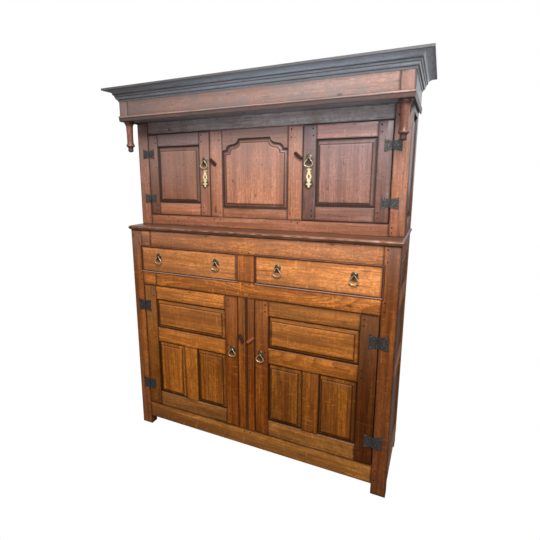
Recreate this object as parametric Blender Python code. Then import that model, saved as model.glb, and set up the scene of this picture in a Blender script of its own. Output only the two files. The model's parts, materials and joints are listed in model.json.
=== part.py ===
"""Oak press cupboard in two stages, made of joined frames, panels and forged fittings.

Metres, +Z up.  The front faces -Y, +X is to the right, and the origin lies on the floor
at the centre of the overall box.
"""
import math

import bmesh
import bpy
from mathutils import Matrix, Vector

# Overall sizes
WIDTH = 1.405               # both stages, over the corner posts
LOWER_DEPTH = 0.460         # lower front face to the back
UPPER_SETBACK = 0.101       # upper front face behind the lower one
FRIEZE_LEAD = 0.018         # frieze face ahead of the lower front face
FRIEZE_OVERSAIL = 0.009     # frieze face outside the stage below it, at each side
CORNICE_PROJECTION = 0.059

# Heights, from the floor up
FOOT = 0.053
BOTTOM_RAIL = 0.092
LOWER_DOORWAY = 0.727
DRAWER_RAIL = 0.078
DRAWER_OPENING = 0.134
LOWER_TOP_RAIL = 0.092
WAIST = 0.021
UPPER_BOTTOM_RAIL = 0.054
UPPER_DOORWAY = 0.432
UPPER_TOP_RAIL = 0.062
FRIEZE = 0.093
CORNICE = 0.062

# Widths and thicknesses of the framing
STILE = 0.067               # corner posts, seen from the front
POST_DEPTH = 0.045
REAR_POST = 0.060           # rear posts, seen from the side
RAIL_THICKNESS = 0.028
SIDE_THICKNESS = 0.028
SIDE_RAIL = 0.070
UPPER_SIDE_HEAD = 0.030     # top rail of an upper side
SIDE_PANEL_SETBACK = 0.005  # side panels sit this much deeper than the door panels
DOOR_MUNTIN = 0.091         # between the lower doors
MUNTIN_CHANNEL = 0.013      # scratched down the middle of that muntin
CHANNEL_DEPTH = 0.003
DRAWER_DIVIDER = 0.103
BEAD_WIDTH = 0.009          # bead round each drawer opening
BEAD_PROUD = 0.0035
BOARD = 0.016               # back, soffit and roof boards
SHELF = 0.018               # floor and drawer deck
LEDGER = 0.022
BACK_BOARDS = 6
BOARD_JOINT = 0.003         # V between two back boards

# Waist board and its nosing
NOSING_FRONT = 0.014
NOSING_SIDE = 0.007
NOSING_STEP = 0.006
NOSING_PROFILE = ((0, -1), (0.15, -1 / 3), (0.5, 0), (0.85, -1 / 3), (1, -1))  # rise, share of the step

# Doors
DOOR_THICKNESS = 0.024
DOOR_GAP = 0.0015
HANGING_STILE = 0.080
CLOSING_STILE = 0.072
DOOR_TOP_RAIL = 0.078
DOOR_MIDDLE_RAIL = 0.079
DOOR_BOTTOM_RAIL = 0.084
DOOR_INNER_MUNTIN = 0.080
TOP_PANEL_HEIGHT = 0.167
UPPER_DOOR_STILE = 0.061
UPPER_DOOR_RAIL = 0.065

# Panels, which stand in grooves
TONGUE = 0.007
TONGUE_THICKNESS = 0.006
PANEL_SUNK = 0.010          # tongue face behind the frame face
FIELD_LEFT = 0.017          # bevel round the raised field, uneven as a plane left it
FIELD_RIGHT = 0.024
FIELD_TOP = 0.027
FIELD_BOTTOM = 0.020
FIELD_SLOPE = 0.006
FIELD_SHOULDER = 0.002

# Centre bay of the upper stage
BAY_HALF = 0.176
BAY_MUNTIN_OUTER = 0.2454
BAY_BOTTOM_RAIL = 0.049
ARCH_HEAD = 0.045           # wood between the crown of the arch and the top rail
ARCH_STEP = 0.022
ARCH_LOBE = 0.033           # width of the lower, round part of the ogee
ARCH_RISE = 0.027           # height of each half of the ogee
ARCH_HOLLOW = 0.035         # width of the upper, hollow part
ARCH_FIELD_MARGIN = 0.023
ARC_STEPS = 5

# Drawers
DRAWER_GAP = 0.0015
DRAWER_FRONT = 0.022
DRAWER_SIDE = 0.012
DRAWER_BACK_ROOM = 0.024    # behind the drawer, up to the back boards
DRAWER_HEADROOM = 0.018     # drawer sides lower than the opening
DRAWER_BOTTOM = 0.010
GUIDE_HEIGHT = 0.035

# Canopy
FRIEZE_BOARD = 0.022
CORNER_POST = 0.053
FRIEZE_BEAD = 0.024
FRIEZE_BEAD_PROUD = 0.005
FRIEZE_BEAD_DROP = 0.005    # bead's foot below the soffit
PENDANT_INSET_X = 0.033     # pendant's centre from the frieze's side face
PENDANT_INSET_Y = 0.030     # and from its front face
PENDANT_LENGTH = 0.158
PENDANT_COLLAR = 0.053      # diameter
PENDANT_SHAFT = 0.032
PENDANT_BELL = 0.040
PENDANT_TIP = 0.027

# Cornice profile, as shares of its projection and of its height
CORNICE_BAND = (0.07, 0.13)        # head of the plain lower band
CORNICE_ROUND = (0.22, 0.35)       # head of the small round
CORNICE_HOLLOW = (0.33, 0.51)      # head of the small hollow
CORNICE_COVE = (0.76, 0.83)        # head of the great cove, under the lip
CORNICE_FILLET = 0.035             # width and height of the fillets between them

# Butterfly hinges
LEAF = 0.002
KNUCKLE_RADIUS = 0.0045
PIN_RADIUS = 0.0018
PIN_CLEARANCE = 0.0004
LOWER_LEAF_REACH = 0.041
LOWER_LEAF_NARROW = 0.048
LOWER_LEAF_WIDE = 0.070
UPPER_LEAF_REACH = 0.036
UPPER_LEAF_NARROW = 0.034
UPPER_LEAF_WIDE = 0.052
LOWER_HINGE_INSET = 0.123          # from the foot and the head of the doorway
UPPER_HINGE_FOOT = 0.089           # lower one above the foot of the doorway
UPPER_HINGE_HEAD = 0.104           # upper one below its head

# Drop pulls
ROSE_RADIUS = 0.0160
ROSE_THICKNESS = 0.004
EYE_RADIUS = 0.0052
EYE_WIRE = 0.0017
EYE_OUT = 0.0105            # eye's centre ahead of the wood
DROP_WIRE = 0.0026
DROP_FOOT_WIRE = 0.0033     # the drop is thickest at its foot
DROP_LENGTH = 0.040
DROP_HALF_WIDTH = 0.0195
DROP_NECK = 0.0055          # half the straight length that passes through the eye
DROP_SHOULDER = 0.64        # share of the drop's length at which it is widest
DRAWER_PULL_SPREAD = 0.354
DRAWER_PULL_RISE = 0.087    # above the foot of the drawer opening
LOWER_PULL_RISE = 0.445     # above the foot of the doorway
LOWER_PULL_INSET = 0.031    # from the closing edge of the door
UPPER_PULL_RISE = 0.2865
UPPER_PULL_INSET = 0.030

# Turn buttons
BUTTON_LENGTH = 0.048
BUTTON_WIDTH = 0.016
BUTTON_THICKNESS = 0.011
BUTTON_ROUNDING = 0.0016    # of the front edge, on its face
BUTTON_ROUNDING_DEPTH = 0.0022
BUTTON_PEG = 0.0035
BUTTON_PEG_LENGTH = 0.018
UPPER_BUTTON_INSET = 0.0198        # pivot from the muntin's door edge
UPPER_LEFT_BUTTON_RISE = 0.278     # above the foot of the doorway
UPPER_RIGHT_BUTTON_RISE = 0.296
LOWER_BUTTON_OFFSET = 0.0255       # pivot from the muntin's centre
LOWER_BUTTON_RISE = 0.509
UPPER_BUTTON_TILT = math.radians(-42)
LEFT_LOWER_BUTTON_TILT = math.radians(-62)
RIGHT_LOWER_BUTTON_TILT = math.radians(41)

# Escutcheons
PLATE = 0.0016
PLATE_HALF_HEIGHT = 0.044
PLATE_HALF_WIDTH = 0.0125
PLATE_DROP = 0.089          # plate's centre below the pull's eye
KEYHOLE_HALF_WIDTH = 0.0045
KEYHOLE_HALF_HEIGHT = 0.0095
KEYHOLE_RISE = 0.0057       # above the plate's middle

GAP = 0.0003                # between pieces that touch
ROUND = 16                  # sides of a turned piece
FINE_ROUND = 12             # sides of a pin or an eye

# Levels and planes that follow from the sizes
Z_DOOR = FOOT + BOTTOM_RAIL
Z_DRAWER_RAIL = Z_DOOR + LOWER_DOORWAY
Z_DRAWER = Z_DRAWER_RAIL + DRAWER_RAIL
Z_TOP_RAIL = Z_DRAWER + DRAWER_OPENING
Z_WAIST = Z_TOP_RAIL + LOWER_TOP_RAIL
Z_UPPER = Z_WAIST + WAIST
Z_UPPER_DOOR = Z_UPPER + UPPER_BOTTOM_RAIL
Z_UPPER_RAIL = Z_UPPER_DOOR + UPPER_DOORWAY
Z_SOFFIT = Z_UPPER_RAIL + UPPER_TOP_RAIL
Z_CORNICE = Z_SOFFIT + FRIEZE
Z_TOP = Z_CORNICE + CORNICE

BACK = (LOWER_DEPTH + FRIEZE_LEAD + CORNICE_PROJECTION) / 2
FRONT = BACK - LOWER_DEPTH
UPPER_FRONT = FRONT + UPPER_SETBACK
FRIEZE_FRONT = FRONT - FRIEZE_LEAD
BACK_BOARD_FACE = BACK - BOARD
HALF = WIDTH / 2
FRIEZE_HALF = HALF + FRIEZE_OVERSAIL
DOORWAY = HALF - STILE
SIDE_INNER = HALF - SIDE_THICKNESS
PENDANT_CENTRE = Vector((FRIEZE_HALF - PENDANT_INSET_X, FRIEZE_FRONT + PENDANT_INSET_Y, 0))
HINGE_OUT = KNUCKLE_RADIUS + GAP
LEFT, RIGHT = -1, 1
SIDES = (("left", LEFT), ("right", RIGHT))


# Modelling helpers

def clear_scene():
    for obj in list(bpy.data.objects):
        bpy.data.objects.remove(obj, do_unlink=True)


def finish_material(name, colour, roughness, metallic=0.0):
    """A plain material with the colour and gloss of the piece."""
    material = bpy.data.materials.new(name)
    material.use_nodes = True
    shader = material.node_tree.nodes["Principled BSDF"]
    shader.inputs["Base Color"].default_value = (*colour, 1.0)
    shader.inputs["Roughness"].default_value = roughness
    shader.inputs["Metallic"].default_value = metallic
    return material


def add_object(name, bm, material=None, pivot=None):
    """Turns a mesh in world coordinates into an object, hung on a pivot if it moves."""
    bmesh.ops.recalc_face_normals(bm, faces=bm.faces)
    mesh = bpy.data.meshes.new(name)
    bm.to_mesh(mesh)
    bm.free()
    obj = bpy.data.objects.new(name, mesh)
    bpy.context.scene.collection.objects.link(obj)
    if material:
        mesh.materials.append(material)
    if pivot:
        hang(obj, pivot)
    return obj


def hang(obj, pivot):
    obj.parent = pivot
    obj.matrix_parent_inverse = Matrix.Translation(-pivot.location)


def add_pivot(name, place):
    pivot = bpy.data.objects.new(name, None)
    pivot.location = place
    bpy.context.scene.collection.objects.link(pivot)
    return pivot


def smooth(obj, angle=35):
    obj.data.shade_smooth()
    obj.data.set_sharp_from_angle(angle=math.radians(angle))


def combine(obj, operation, bm):
    """Joins a mesh to an object, or cuts it away, with a Boolean that stays live."""
    tool = add_object(f"{obj.name}_{operation.lower()}_{len(obj.modifiers)}", bm)
    tool.hide_render = True
    tool.display_type = 'WIRE'
    modifier = obj.modifiers.new(operation.title(), 'BOOLEAN')
    modifier.operation = operation
    modifier.solver = 'EXACT'
    modifier.object = tool


def joined_boards(boards, voids=()):
    """One skin round square-cut boards that meet or overlap, less the square voids."""
    cuts = []
    for axis in range(3):
        faces = {round(corner[axis], 7) for board in (*boards, *voids) for corner in board}
        cuts.append(sorted(faces))

    def holds(box, point):
        low, high = box
        return all(low[i] < point[i] < high[i] for i in range(3))

    def filled(cell):
        if any(not 0 <= cell[i] < len(cuts[i]) - 1 for i in range(3)):
            return False
        middle = [(cuts[i][cell[i]] + cuts[i][cell[i] + 1]) / 2 for i in range(3)]
        return (any(holds(board, middle) for board in boards)
                and not any(holds(void, middle) for void in voids))

    bm = bmesh.new()
    corners = {}

    def corner(key):
        if key not in corners:
            corners[key] = bm.verts.new([cuts[i][key[i]] for i in range(3)])
        return corners[key]

    counts = [range(len(cuts[i]) - 1) for i in range(3)]
    for cell in ((i, j, k) for i in counts[0] for j in counts[1] for k in counts[2]):
        if not filled(cell):
            continue
        for axis in range(3):
            for side in (0, 1):
                beyond = list(cell)
                beyond[axis] += 2 * side - 1
                if filled(beyond):
                    continue
                a, b = [i for i in range(3) if i != axis]
                ring = []
                for step_a, step_b in ((0, 0), (1, 0), (1, 1), (0, 1)):
                    key = list(cell)
                    key[axis] += side
                    key[a] += step_a
                    key[b] += step_b
                    ring.append(corner(tuple(key)))
                bm.faces.new(ring)
    bmesh.ops.recalc_face_normals(bm, faces=bm.faces)
    bmesh.ops.dissolve_limit(bm, angle_limit=0.001, verts=bm.verts, edges=bm.edges)
    return bm


def lofted(rings):
    """A closed solid through rings of equally many points, capped at both ends."""
    bm = bmesh.new()
    loops = [[bm.verts.new(point) for point in ring] for ring in rings]
    count = len(loops[0])
    for near, far in zip(loops, loops[1:]):
        for i in range(count):
            j = (i + 1) % count
            bm.faces.new((near[i], near[j], far[j], far[i]))
    bm.faces.new(loops[0])
    bm.faces.new(loops[-1])
    return bm


def upright(outline, y):
    """Places an (x, z) outline in the plane at y."""
    return [(x, y, z) for x, z in outline]


def turned(profile, sides=ROUND, closed=False):
    """Spins a (radius, z) profile about the Z axis."""
    bm = bmesh.new()
    points = [bm.verts.new((radius, 0, z)) for radius, z in profile]
    edges = [bm.edges.new(pair) for pair in zip(points, points[1:])]
    if closed:
        edges.append(bm.edges.new((points[-1], points[0])))
    bmesh.ops.spin(bm, geom=points + edges, axis=(0, 0, 1), cent=(0, 0, 0),
                   steps=sides, angle=2 * math.pi, use_merge=True)
    bmesh.ops.remove_doubles(bm, verts=bm.verts, dist=1e-6)
    return bm


def placed(bm, place, facing='UP'):
    """Moves a turned mesh to its place; FRONT lays its axis along -Y, SIDE along X."""
    if facing == 'FRONT':
        bm.transform(Matrix.Rotation(math.radians(90), 4, 'X'))
    if facing == 'SIDE':
        bm.transform(Matrix.Rotation(math.radians(90), 4, 'Y'))
    bm.transform(Matrix.Translation(place))
    return bm


def mitred_run(profile):
    """Runs an (out, z) moulding round the left side, the front and the right side."""
    stations = (
        (-FRIEZE_HALF, BACK, LEFT, 0),
        (-FRIEZE_HALF, FRIEZE_FRONT, LEFT, -1),
        (FRIEZE_HALF, FRIEZE_FRONT, RIGHT, -1),
        (FRIEZE_HALF, BACK, RIGHT, 0),
    )
    rings = []
    for x, y, out_x, out_y in stations:
        rings.append([(x + out * out_x, y + out * out_y, z) for out, z in profile])
    return lofted(rings)


def quarter(start, end, hollow):
    """Points of a quarter ellipse from start to end, without its start point.

    A hollow quarter leaves along the first coordinate, a round one along the second.
    """
    (a0, b0), (a1, b1) = start, end
    points = []
    for step in range(1, ARC_STEPS + 1):
        angle = math.pi / 2 * step / ARC_STEPS
        rise, run = math.sin(angle), 1 - math.cos(angle)
        if hollow:
            points.append((a0 + (a1 - a0) * rise, b0 + (b1 - b0) * run))
        else:
            points.append((a0 + (a1 - a0) * run, b0 + (b1 - b0) * rise))
    return points


def mirrored(half):
    """Completes an outline whose (x, z) points run up its right half."""
    return half + [(-x, z) for x, z in reversed(half)]


def rectangle(low, high, grow=0.0):
    (x0, z0), (x1, z1) = low, high
    return [(x0 - grow, z0 - grow), (x1 + grow, z0 - grow),
            (x1 + grow, z1 + grow), (x0 - grow, z1 + grow)]


def field_outline(low, high):
    (x0, z0), (x1, z1) = low, high
    return rectangle((x0 + FIELD_LEFT, z0 + FIELD_BOTTOM), (x1 - FIELD_RIGHT, z1 - FIELD_TOP))


def fielded_panel(sight, tongue, field, face):
    """A panel with a flat tongue, a bevelled margin and a raised field, facing -Y."""
    edge = face + PANEL_SUNK
    raised = edge - FIELD_SLOPE
    return lofted([
        upright(tongue, edge + TONGUE_THICKNESS),
        upright(tongue, edge),
        upright(sight, edge),
        upright(field, raised),
        upright(field, raised - FIELD_SHOULDER),
    ])


def board(x0, x1, y0, y1, z0, z1):
    return ((min(x0, x1), y0, z0), (max(x0, x1), y1, z1))


def cylinder(radius, start, end, sides=FINE_ROUND):
    return turned([(0, start), (radius, start), (radius, end), (0, end)], sides)


# Lower stage

def lower_front_frame(oak):
    """Corner posts, rails and muntins, with the bead round the drawers."""
    back = FRONT + RAIL_THICKNESS
    boards = [board(-DOORWAY, DOORWAY, FRONT, back, FOOT, Z_DOOR),
              board(-DOORWAY, DOORWAY, FRONT, back, Z_DRAWER_RAIL, Z_DRAWER),
              board(-DOORWAY, DOORWAY, FRONT, back, Z_TOP_RAIL, Z_WAIST - GAP),
              board(-DOOR_MUNTIN / 2, DOOR_MUNTIN / 2, FRONT, back, Z_DOOR, Z_DRAWER_RAIL),
              board(-DRAWER_DIVIDER / 2, DRAWER_DIVIDER / 2, FRONT, back, Z_DRAWER, Z_TOP_RAIL)]
    for side in (LEFT, RIGHT):
        boards.append(board(side * DOORWAY, side * HALF, FRONT, FRONT + POST_DEPTH, 0, Z_WAIST - GAP))
    for shelf_top in (Z_DOOR, Z_DRAWER):
        top = shelf_top - SHELF - GAP
        boards.append(board(-DOORWAY, DOORWAY, back, back + LEDGER, top - LEDGER, top))
    for side in (LEFT, RIGHT):
        inner, outer = side * DRAWER_DIVIDER / 2, side * DOORWAY
        proud = FRONT - BEAD_PROUD
        for x0, x1 in ((inner, inner - side * BEAD_WIDTH), (outer, outer + side * BEAD_WIDTH)):
            boards.append(board(x0, x1, proud, FRONT, Z_DRAWER - BEAD_WIDTH, Z_TOP_RAIL + BEAD_WIDTH))
        for z0, z1 in ((Z_DRAWER - BEAD_WIDTH, Z_DRAWER), (Z_TOP_RAIL, Z_TOP_RAIL + BEAD_WIDTH)):
            boards.append(board(inner, outer, proud, FRONT, z0, z1))
    channel = board(-MUNTIN_CHANNEL / 2, MUNTIN_CHANNEL / 2, FRONT - BEAD_PROUD,
                    FRONT + CHANNEL_DEPTH, Z_DOOR, Z_DRAWER_RAIL)
    frame = add_object("lower_front_frame", joined_boards(boards, [channel]), oak)
    for side in (LEFT, RIGHT):
        bore_for_button(frame, lower_button_place(side))


def side_frame(name, side, front, base, foot, top, rails, oak):
    """Rear post, rails and fielded panels of one side, as one joined frame."""
    outer, inner = side * HALF, side * SIDE_INNER
    rear = BACK_BOARD_FACE - GAP
    opening_end = rear - REAR_POST
    boards = [board(outer, side * (HALF - POST_DEPTH), opening_end, rear, base, top)]
    for z0, z1 in rails:
        boards.append(board(outer, inner, front, opening_end, z0, z1))
    boards.append(board(outer, inner, front, front + LEDGER, foot, top))
    frame = add_object(name, joined_boards(boards), oak)
    for (_, z0), (z1, _) in zip(rails, rails[1:]):
        low, high = (front + LEDGER, z0), (opening_end, z1)
        panel = fielded_panel(rectangle(low, high), rectangle(low, high, TONGUE),
                              field_outline(low, high), SIDE_PANEL_SETBACK)
        panel.transform(Matrix.Rotation(math.radians(90), 4, 'Z'))
        if side == LEFT:
            panel.transform(Matrix.Scale(-1, 4, (1, 0, 0)))
        panel.transform(Matrix.Translation((outer, 0, 0)))
        combine(frame, 'UNION', panel)


def lower_sides(oak):
    middle = Z_DOOR + DOOR_GAP + DOOR_BOTTOM_RAIL + lower_panel_height()
    rails = [(FOOT, Z_DOOR), (middle, middle + DOOR_MIDDLE_RAIL),
             (Z_DRAWER_RAIL, Z_DRAWER), (Z_WAIST - GAP - SIDE_RAIL, Z_WAIST - GAP)]
    for word, side in SIDES:
        side_frame(f"lower_{word}_side", side, FRONT + POST_DEPTH + GAP, 0, FOOT, Z_WAIST - GAP, rails, oak)


def lower_panel_height():
    return (LOWER_DOORWAY - 2 * DOOR_GAP - DOOR_TOP_RAIL - TOP_PANEL_HEIGHT
            - DOOR_MIDDLE_RAIL - DOOR_BOTTOM_RAIL)


def back_boards(name, base, top, oak):
    """Upright boards with a V at each joint, nailed over the back."""
    pitch = 2 * HALF / BACK_BOARDS
    outer_line, inner_line = [], []
    for joint in range(1, BACK_BOARDS):
        x = -HALF + joint * pitch
        for offset, depth in ((-BOARD_JOINT, 0), (0, BOARD_JOINT), (BOARD_JOINT, 0)):
            outer_line.append((x + offset, BACK - depth))
            inner_line.append((x + offset, BACK_BOARD_FACE + depth))
    outline = ([(-HALF, BACK_BOARD_FACE)] + inner_line + [(HALF, BACK_BOARD_FACE), (HALF, BACK)]
               + outer_line[::-1] + [(-HALF, BACK)])
    add_object(name, lofted([[(x, y, z) for x, y in outline] for z in (base, top)]), oak)


def shelf_boards(top, bottom):
    """A deck that fills the stage and passes between the posts."""
    front, rear = FRONT + RAIL_THICKNESS + GAP, BACK_BOARD_FACE - GAP
    post_end, rear_post = FRONT + POST_DEPTH + GAP, rear - REAR_POST - GAP
    between_rear_posts = HALF - POST_DEPTH - GAP
    return [board(-DOORWAY + GAP, DOORWAY - GAP, front, rear, bottom, top),
            board(-SIDE_INNER + GAP, SIDE_INNER - GAP, post_end, rear_post, bottom, top),
            board(-between_rear_posts, between_rear_posts, post_end, rear, bottom, top)]


def lower_floor(oak):
    add_object("lower_floor_boards", joined_boards(shelf_boards(Z_DOOR, Z_DOOR - SHELF)), oak)


def drawer_deck(oak):
    """Dust board with the guides that the drawers run between."""
    boards = shelf_boards(Z_DRAWER, Z_DRAWER - SHELF)
    front, rear = FRONT + POST_DEPTH + GAP, BACK_BOARD_FACE - REAR_POST - 2 * GAP
    top = Z_DRAWER + GUIDE_HEIGHT
    boards.append(board(-DRAWER_DIVIDER / 2, DRAWER_DIVIDER / 2, FRONT + RAIL_THICKNESS + GAP, rear,
                        Z_DRAWER, top))
    for side in (LEFT, RIGHT):
        boards.append(board(side * DOORWAY, side * (SIDE_INNER - GAP), front, rear, Z_DRAWER, top))
    add_object("drawer_deck", joined_boards(boards), oak)


def waist_top(oak):
    """Top of the lower stage, with a rounded nosing on three edges."""
    rings = []
    for share, step in NOSING_PROFILE:
        x = HALF + NOSING_SIDE + NOSING_STEP * step
        y = FRONT - NOSING_FRONT - NOSING_STEP * step
        z = Z_WAIST + WAIST * share
        rings.append([(-x, y, z), (x, y, z), (x, BACK, z), (-x, BACK, z)])
    add_object("waist_top", lofted(rings), oak)


# Upper stage

def arch_outline(grow=0.0, lobe_shrink=0.0):
    """Outline of the arched bay: square foot, stepped shoulders and ogee head.

    A positive grow gives the groove and the tongue, a negative one the raised field,
    whose round lobes are drawn smaller.
    """
    half, foot = BAY_HALF + grow, Z_UPPER_DOOR + BAY_BOTTOM_RAIL - grow
    crown = Z_UPPER_RAIL - ARCH_HEAD + grow
    spring = crown - 2 * ARCH_RISE
    top_half = BAY_HALF - ARCH_STEP - ARCH_LOBE - ARCH_HOLLOW + grow / 2
    shoulder = top_half + ARCH_HOLLOW
    lobe = shoulder + ARCH_LOBE - lobe_shrink
    middle = crown - ARCH_RISE
    points = [(half, foot), (half, spring), (lobe, spring)]
    points += quarter((lobe, spring), (shoulder, middle), hollow=False)
    points += quarter((shoulder, middle), (top_half, crown), hollow=True)
    return mirrored(points)


def upper_front_frame(oak):
    """Stiles, rails and muntins of the set-back front, with the arched bay cut through."""
    back = UPPER_FRONT + RAIL_THICKNESS
    top = Z_SOFFIT - GAP
    boards = [board(-DOORWAY, DOORWAY, UPPER_FRONT, back, Z_UPPER + GAP, Z_UPPER_DOOR),
              board(-DOORWAY, DOORWAY, UPPER_FRONT, back, Z_UPPER_RAIL, top),
              board(-BAY_MUNTIN_OUTER, BAY_MUNTIN_OUTER, UPPER_FRONT, back, Z_UPPER_DOOR, Z_UPPER_RAIL)]
    for side in (LEFT, RIGHT):
        boards.append(board(side * DOORWAY, side * HALF, UPPER_FRONT, UPPER_FRONT + POST_DEPTH,
                            Z_UPPER + GAP, top))
    frame = add_object("upper_front_frame", joined_boards(boards), oak)
    combine(frame, 'DIFFERENCE', lofted([upright(arch_outline(), UPPER_FRONT - RAIL_THICKNESS),
                                         upright(arch_outline(), back + RAIL_THICKNESS)]))
    groove = arch_outline(TONGUE + GAP)
    edge = UPPER_FRONT + PANEL_SUNK
    combine(frame, 'DIFFERENCE', lofted([upright(groove, edge - GAP),
                                         upright(groove, edge + TONGUE_THICKNESS + GAP)]))
    for side in (LEFT, RIGHT):
        bore_for_button(frame, upper_button_place(side))


def arched_centre_panel(oak):
    panel = fielded_panel(arch_outline(), arch_outline(TONGUE),
                          arch_outline(-ARCH_FIELD_MARGIN, lobe_shrink=ARCH_FIELD_MARGIN / 2), UPPER_FRONT)
    add_object("arched_centre_panel", panel, oak)


def upper_sides(oak):
    top = Z_SOFFIT - GAP
    rails = [(Z_UPPER + GAP, Z_UPPER + SIDE_RAIL), (top - UPPER_SIDE_HEAD, top)]
    for word, side in SIDES:
        side_frame(f"upper_{word}_side", side, UPPER_FRONT + POST_DEPTH + GAP,
                   Z_UPPER + GAP, Z_UPPER + GAP, top, rails, oak)


def canopy_frieze(oak):
    """Frieze boards on three sides with corner posts, soffit and roof, open at the back."""
    rear = BACK_BOARD_FACE - GAP
    inner = FRIEZE_HALF - FRIEZE_BOARD
    roof = Z_TOP - GAP
    boards = [board(-FRIEZE_HALF, FRIEZE_HALF, FRIEZE_FRONT, FRIEZE_FRONT + FRIEZE_BOARD, Z_SOFFIT, roof),
              board(-inner, inner, FRIEZE_FRONT, rear, Z_SOFFIT, Z_SOFFIT + BOARD),
              board(-inner, inner, FRIEZE_FRONT, rear, roof - BOARD, roof)]
    for side in (LEFT, RIGHT):
        outer = side * FRIEZE_HALF
        boards.append(board(outer, side * inner, FRIEZE_FRONT, rear, Z_SOFFIT, roof))
        boards.append(board(outer, outer - side * CORNER_POST, FRIEZE_FRONT,
                            FRIEZE_FRONT + CORNER_POST, Z_SOFFIT, roof))
    frieze = add_object("canopy_frieze", joined_boards(boards), oak)
    low, high = Z_SOFFIT - FRIEZE_BEAD_DROP, Z_SOFFIT + FRIEZE_BEAD
    nose = FRIEZE_BEAD_PROUD
    widest = (low + 2 * high) / 3
    bead = [(-nose / 2, low), (0, low)]
    bead += quarter((0, low), (nose, widest), hollow=True)
    bead += quarter((nose, widest), (nose / 4, high), hollow=False)
    bead.append((-nose / 2, high))
    combine(frieze, 'UNION', mitred_run(bead))


def cornice_moulding(oak):
    """Mitred cornice: a plain band, a small round, a small hollow, a great cove and a thin lip."""
    shares = [(0, 0), (CORNICE_FILLET, 0), CORNICE_BAND]
    elements = ((CORNICE_ROUND, True), (CORNICE_HOLLOW, False), (CORNICE_COVE, False))
    for head, round_out in elements:
        out, rise = shares[-1]
        start = (out + CORNICE_FILLET, rise + CORNICE_FILLET)
        shares += [(start[0], rise), start]
        shares += quarter(start, head, hollow=round_out)
    shares += [(1, CORNICE_COVE[1]), (1, 1), (0, 1)]
    profile = [(max(GAP, out * CORNICE_PROJECTION), Z_CORNICE + rise * CORNICE) for out, rise in shares]
    add_object("cornice_moulding", mitred_run(profile), oak)


def pendants(oak):
    """Turned drops under the canopy's front corners."""
    collar, shaft, bell, tip = (d / 2 for d in (PENDANT_COLLAR, PENDANT_SHAFT, PENDANT_BELL, PENDANT_TIP))
    profile = [(0, 0), (collar, 0), (collar, -0.04), (collar * 0.94, -0.08), (shaft * 1.24, -0.13),
               (shaft * 1.10, -0.17), (shaft * 1.10, -0.22), (shaft, -0.45), (shaft * 0.92, -0.69),
               (shaft, -0.73), (bell, -0.77), (bell, -0.81), (tip, -0.85), (tip * 0.90, -0.90),
               (tip * 0.96, -0.95), (tip * 0.60, -0.99), (0, -1)]
    for word, side in SIDES:
        place = Vector((side * PENDANT_CENTRE.x, PENDANT_CENTRE.y, Z_SOFFIT - GAP))
        points = [(radius, share * PENDANT_LENGTH) for radius, share in profile]
        smooth(add_object(f"{word}_pendant", placed(turned(points), place), oak))


# Doors, drawers and their fittings

def door_panel(name, low, high, face, pivot, oak):
    panel = fielded_panel(rectangle(low, high), rectangle(low, high, TONGUE), field_outline(low, high), face)
    add_object(name, panel, oak, pivot)


def panel_groove(low, high, face):
    """Square void that gives a frame its groove and opening round one panel."""
    (x0, z0), (x1, z1) = low, high
    reach = TONGUE + GAP
    edge = face + PANEL_SUNK
    return board(x0 - reach, x1 + reach, edge - GAP, edge + TONGUE_THICKNESS + GAP, z0 - reach, z1 + reach)


def framed_door(name, windows, span, heights, face, pivot, oak):
    """Door frame with an opening and a groove for each panel, and its panels."""
    (x0, x1), (z0, z1) = sorted(span), heights
    back = face + DOOR_THICKNESS
    voids = []
    for low, high in windows.values():
        voids.append(board(low[0], high[0], face - GAP, back + GAP, low[1], high[1]))
        voids.append(panel_groove(low, high, face))
    slab = board(x0, x1, face, back, z0, z1)
    frame = add_object(f"{name}_frame", joined_boards([slab], voids), oak, pivot)
    for word, (low, high) in windows.items():
        door_panel(f"{name}_{word}panel", low, high, face, pivot, oak)
    return frame


def span_between(side, near, far):
    """An x range given by distances from the centre on one side."""
    return sorted((side * near, side * far))


def lower_door(word, side, finishes):
    oak, iron, brass = finishes["door"], finishes["iron"], finishes["brass"]
    closing, hanging = DOOR_MUNTIN / 2 + DOOR_GAP, DOORWAY - DOOR_GAP
    z0, z1 = Z_DOOR + DOOR_GAP, Z_DRAWER_RAIL - DOOR_GAP
    pivot = add_pivot(f"lower_{word}_door_pivot", hinge_axis(side, FRONT))
    inner, outer = closing + CLOSING_STILE, hanging - HANGING_STILE
    panel_width = (outer - inner - DOOR_INNER_MUNTIN) / 2
    low_top = z0 + DOOR_BOTTOM_RAIL + lower_panel_height()
    windows = {}
    for label, near, far, foot, head in (
            ("top_", inner, outer, low_top + DOOR_MIDDLE_RAIL, z1 - DOOR_TOP_RAIL),
            ("outer_", outer - panel_width, outer, z0 + DOOR_BOTTOM_RAIL, low_top),
            ("inner_", inner, inner + panel_width, z0 + DOOR_BOTTOM_RAIL, low_top)):
        left, right = span_between(side, near, far)
        windows[label] = ((left, foot), (right, head))
    name = f"lower_{word}_door"
    span = span_between(side, closing, hanging)
    frame = framed_door(name, windows, span, (z0, z1), FRONT, pivot, oak)
    place = (side * (closing + LOWER_PULL_INSET), FRONT, Z_DOOR + LOWER_PULL_RISE)
    add_pull(f"{name}_pull", frame, place, brass)
    leaf = (LOWER_LEAF_REACH, LOWER_LEAF_NARROW, LOWER_LEAF_WIDE)
    heights = (Z_DOOR + LOWER_HINGE_INSET, Z_DRAWER_RAIL - LOWER_HINGE_INSET)
    for label, height in zip(("bottom", "top"), heights):
        butterfly_hinge(f"{name}_{label}_hinge", side, FRONT, height, leaf, pivot, iron)


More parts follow.
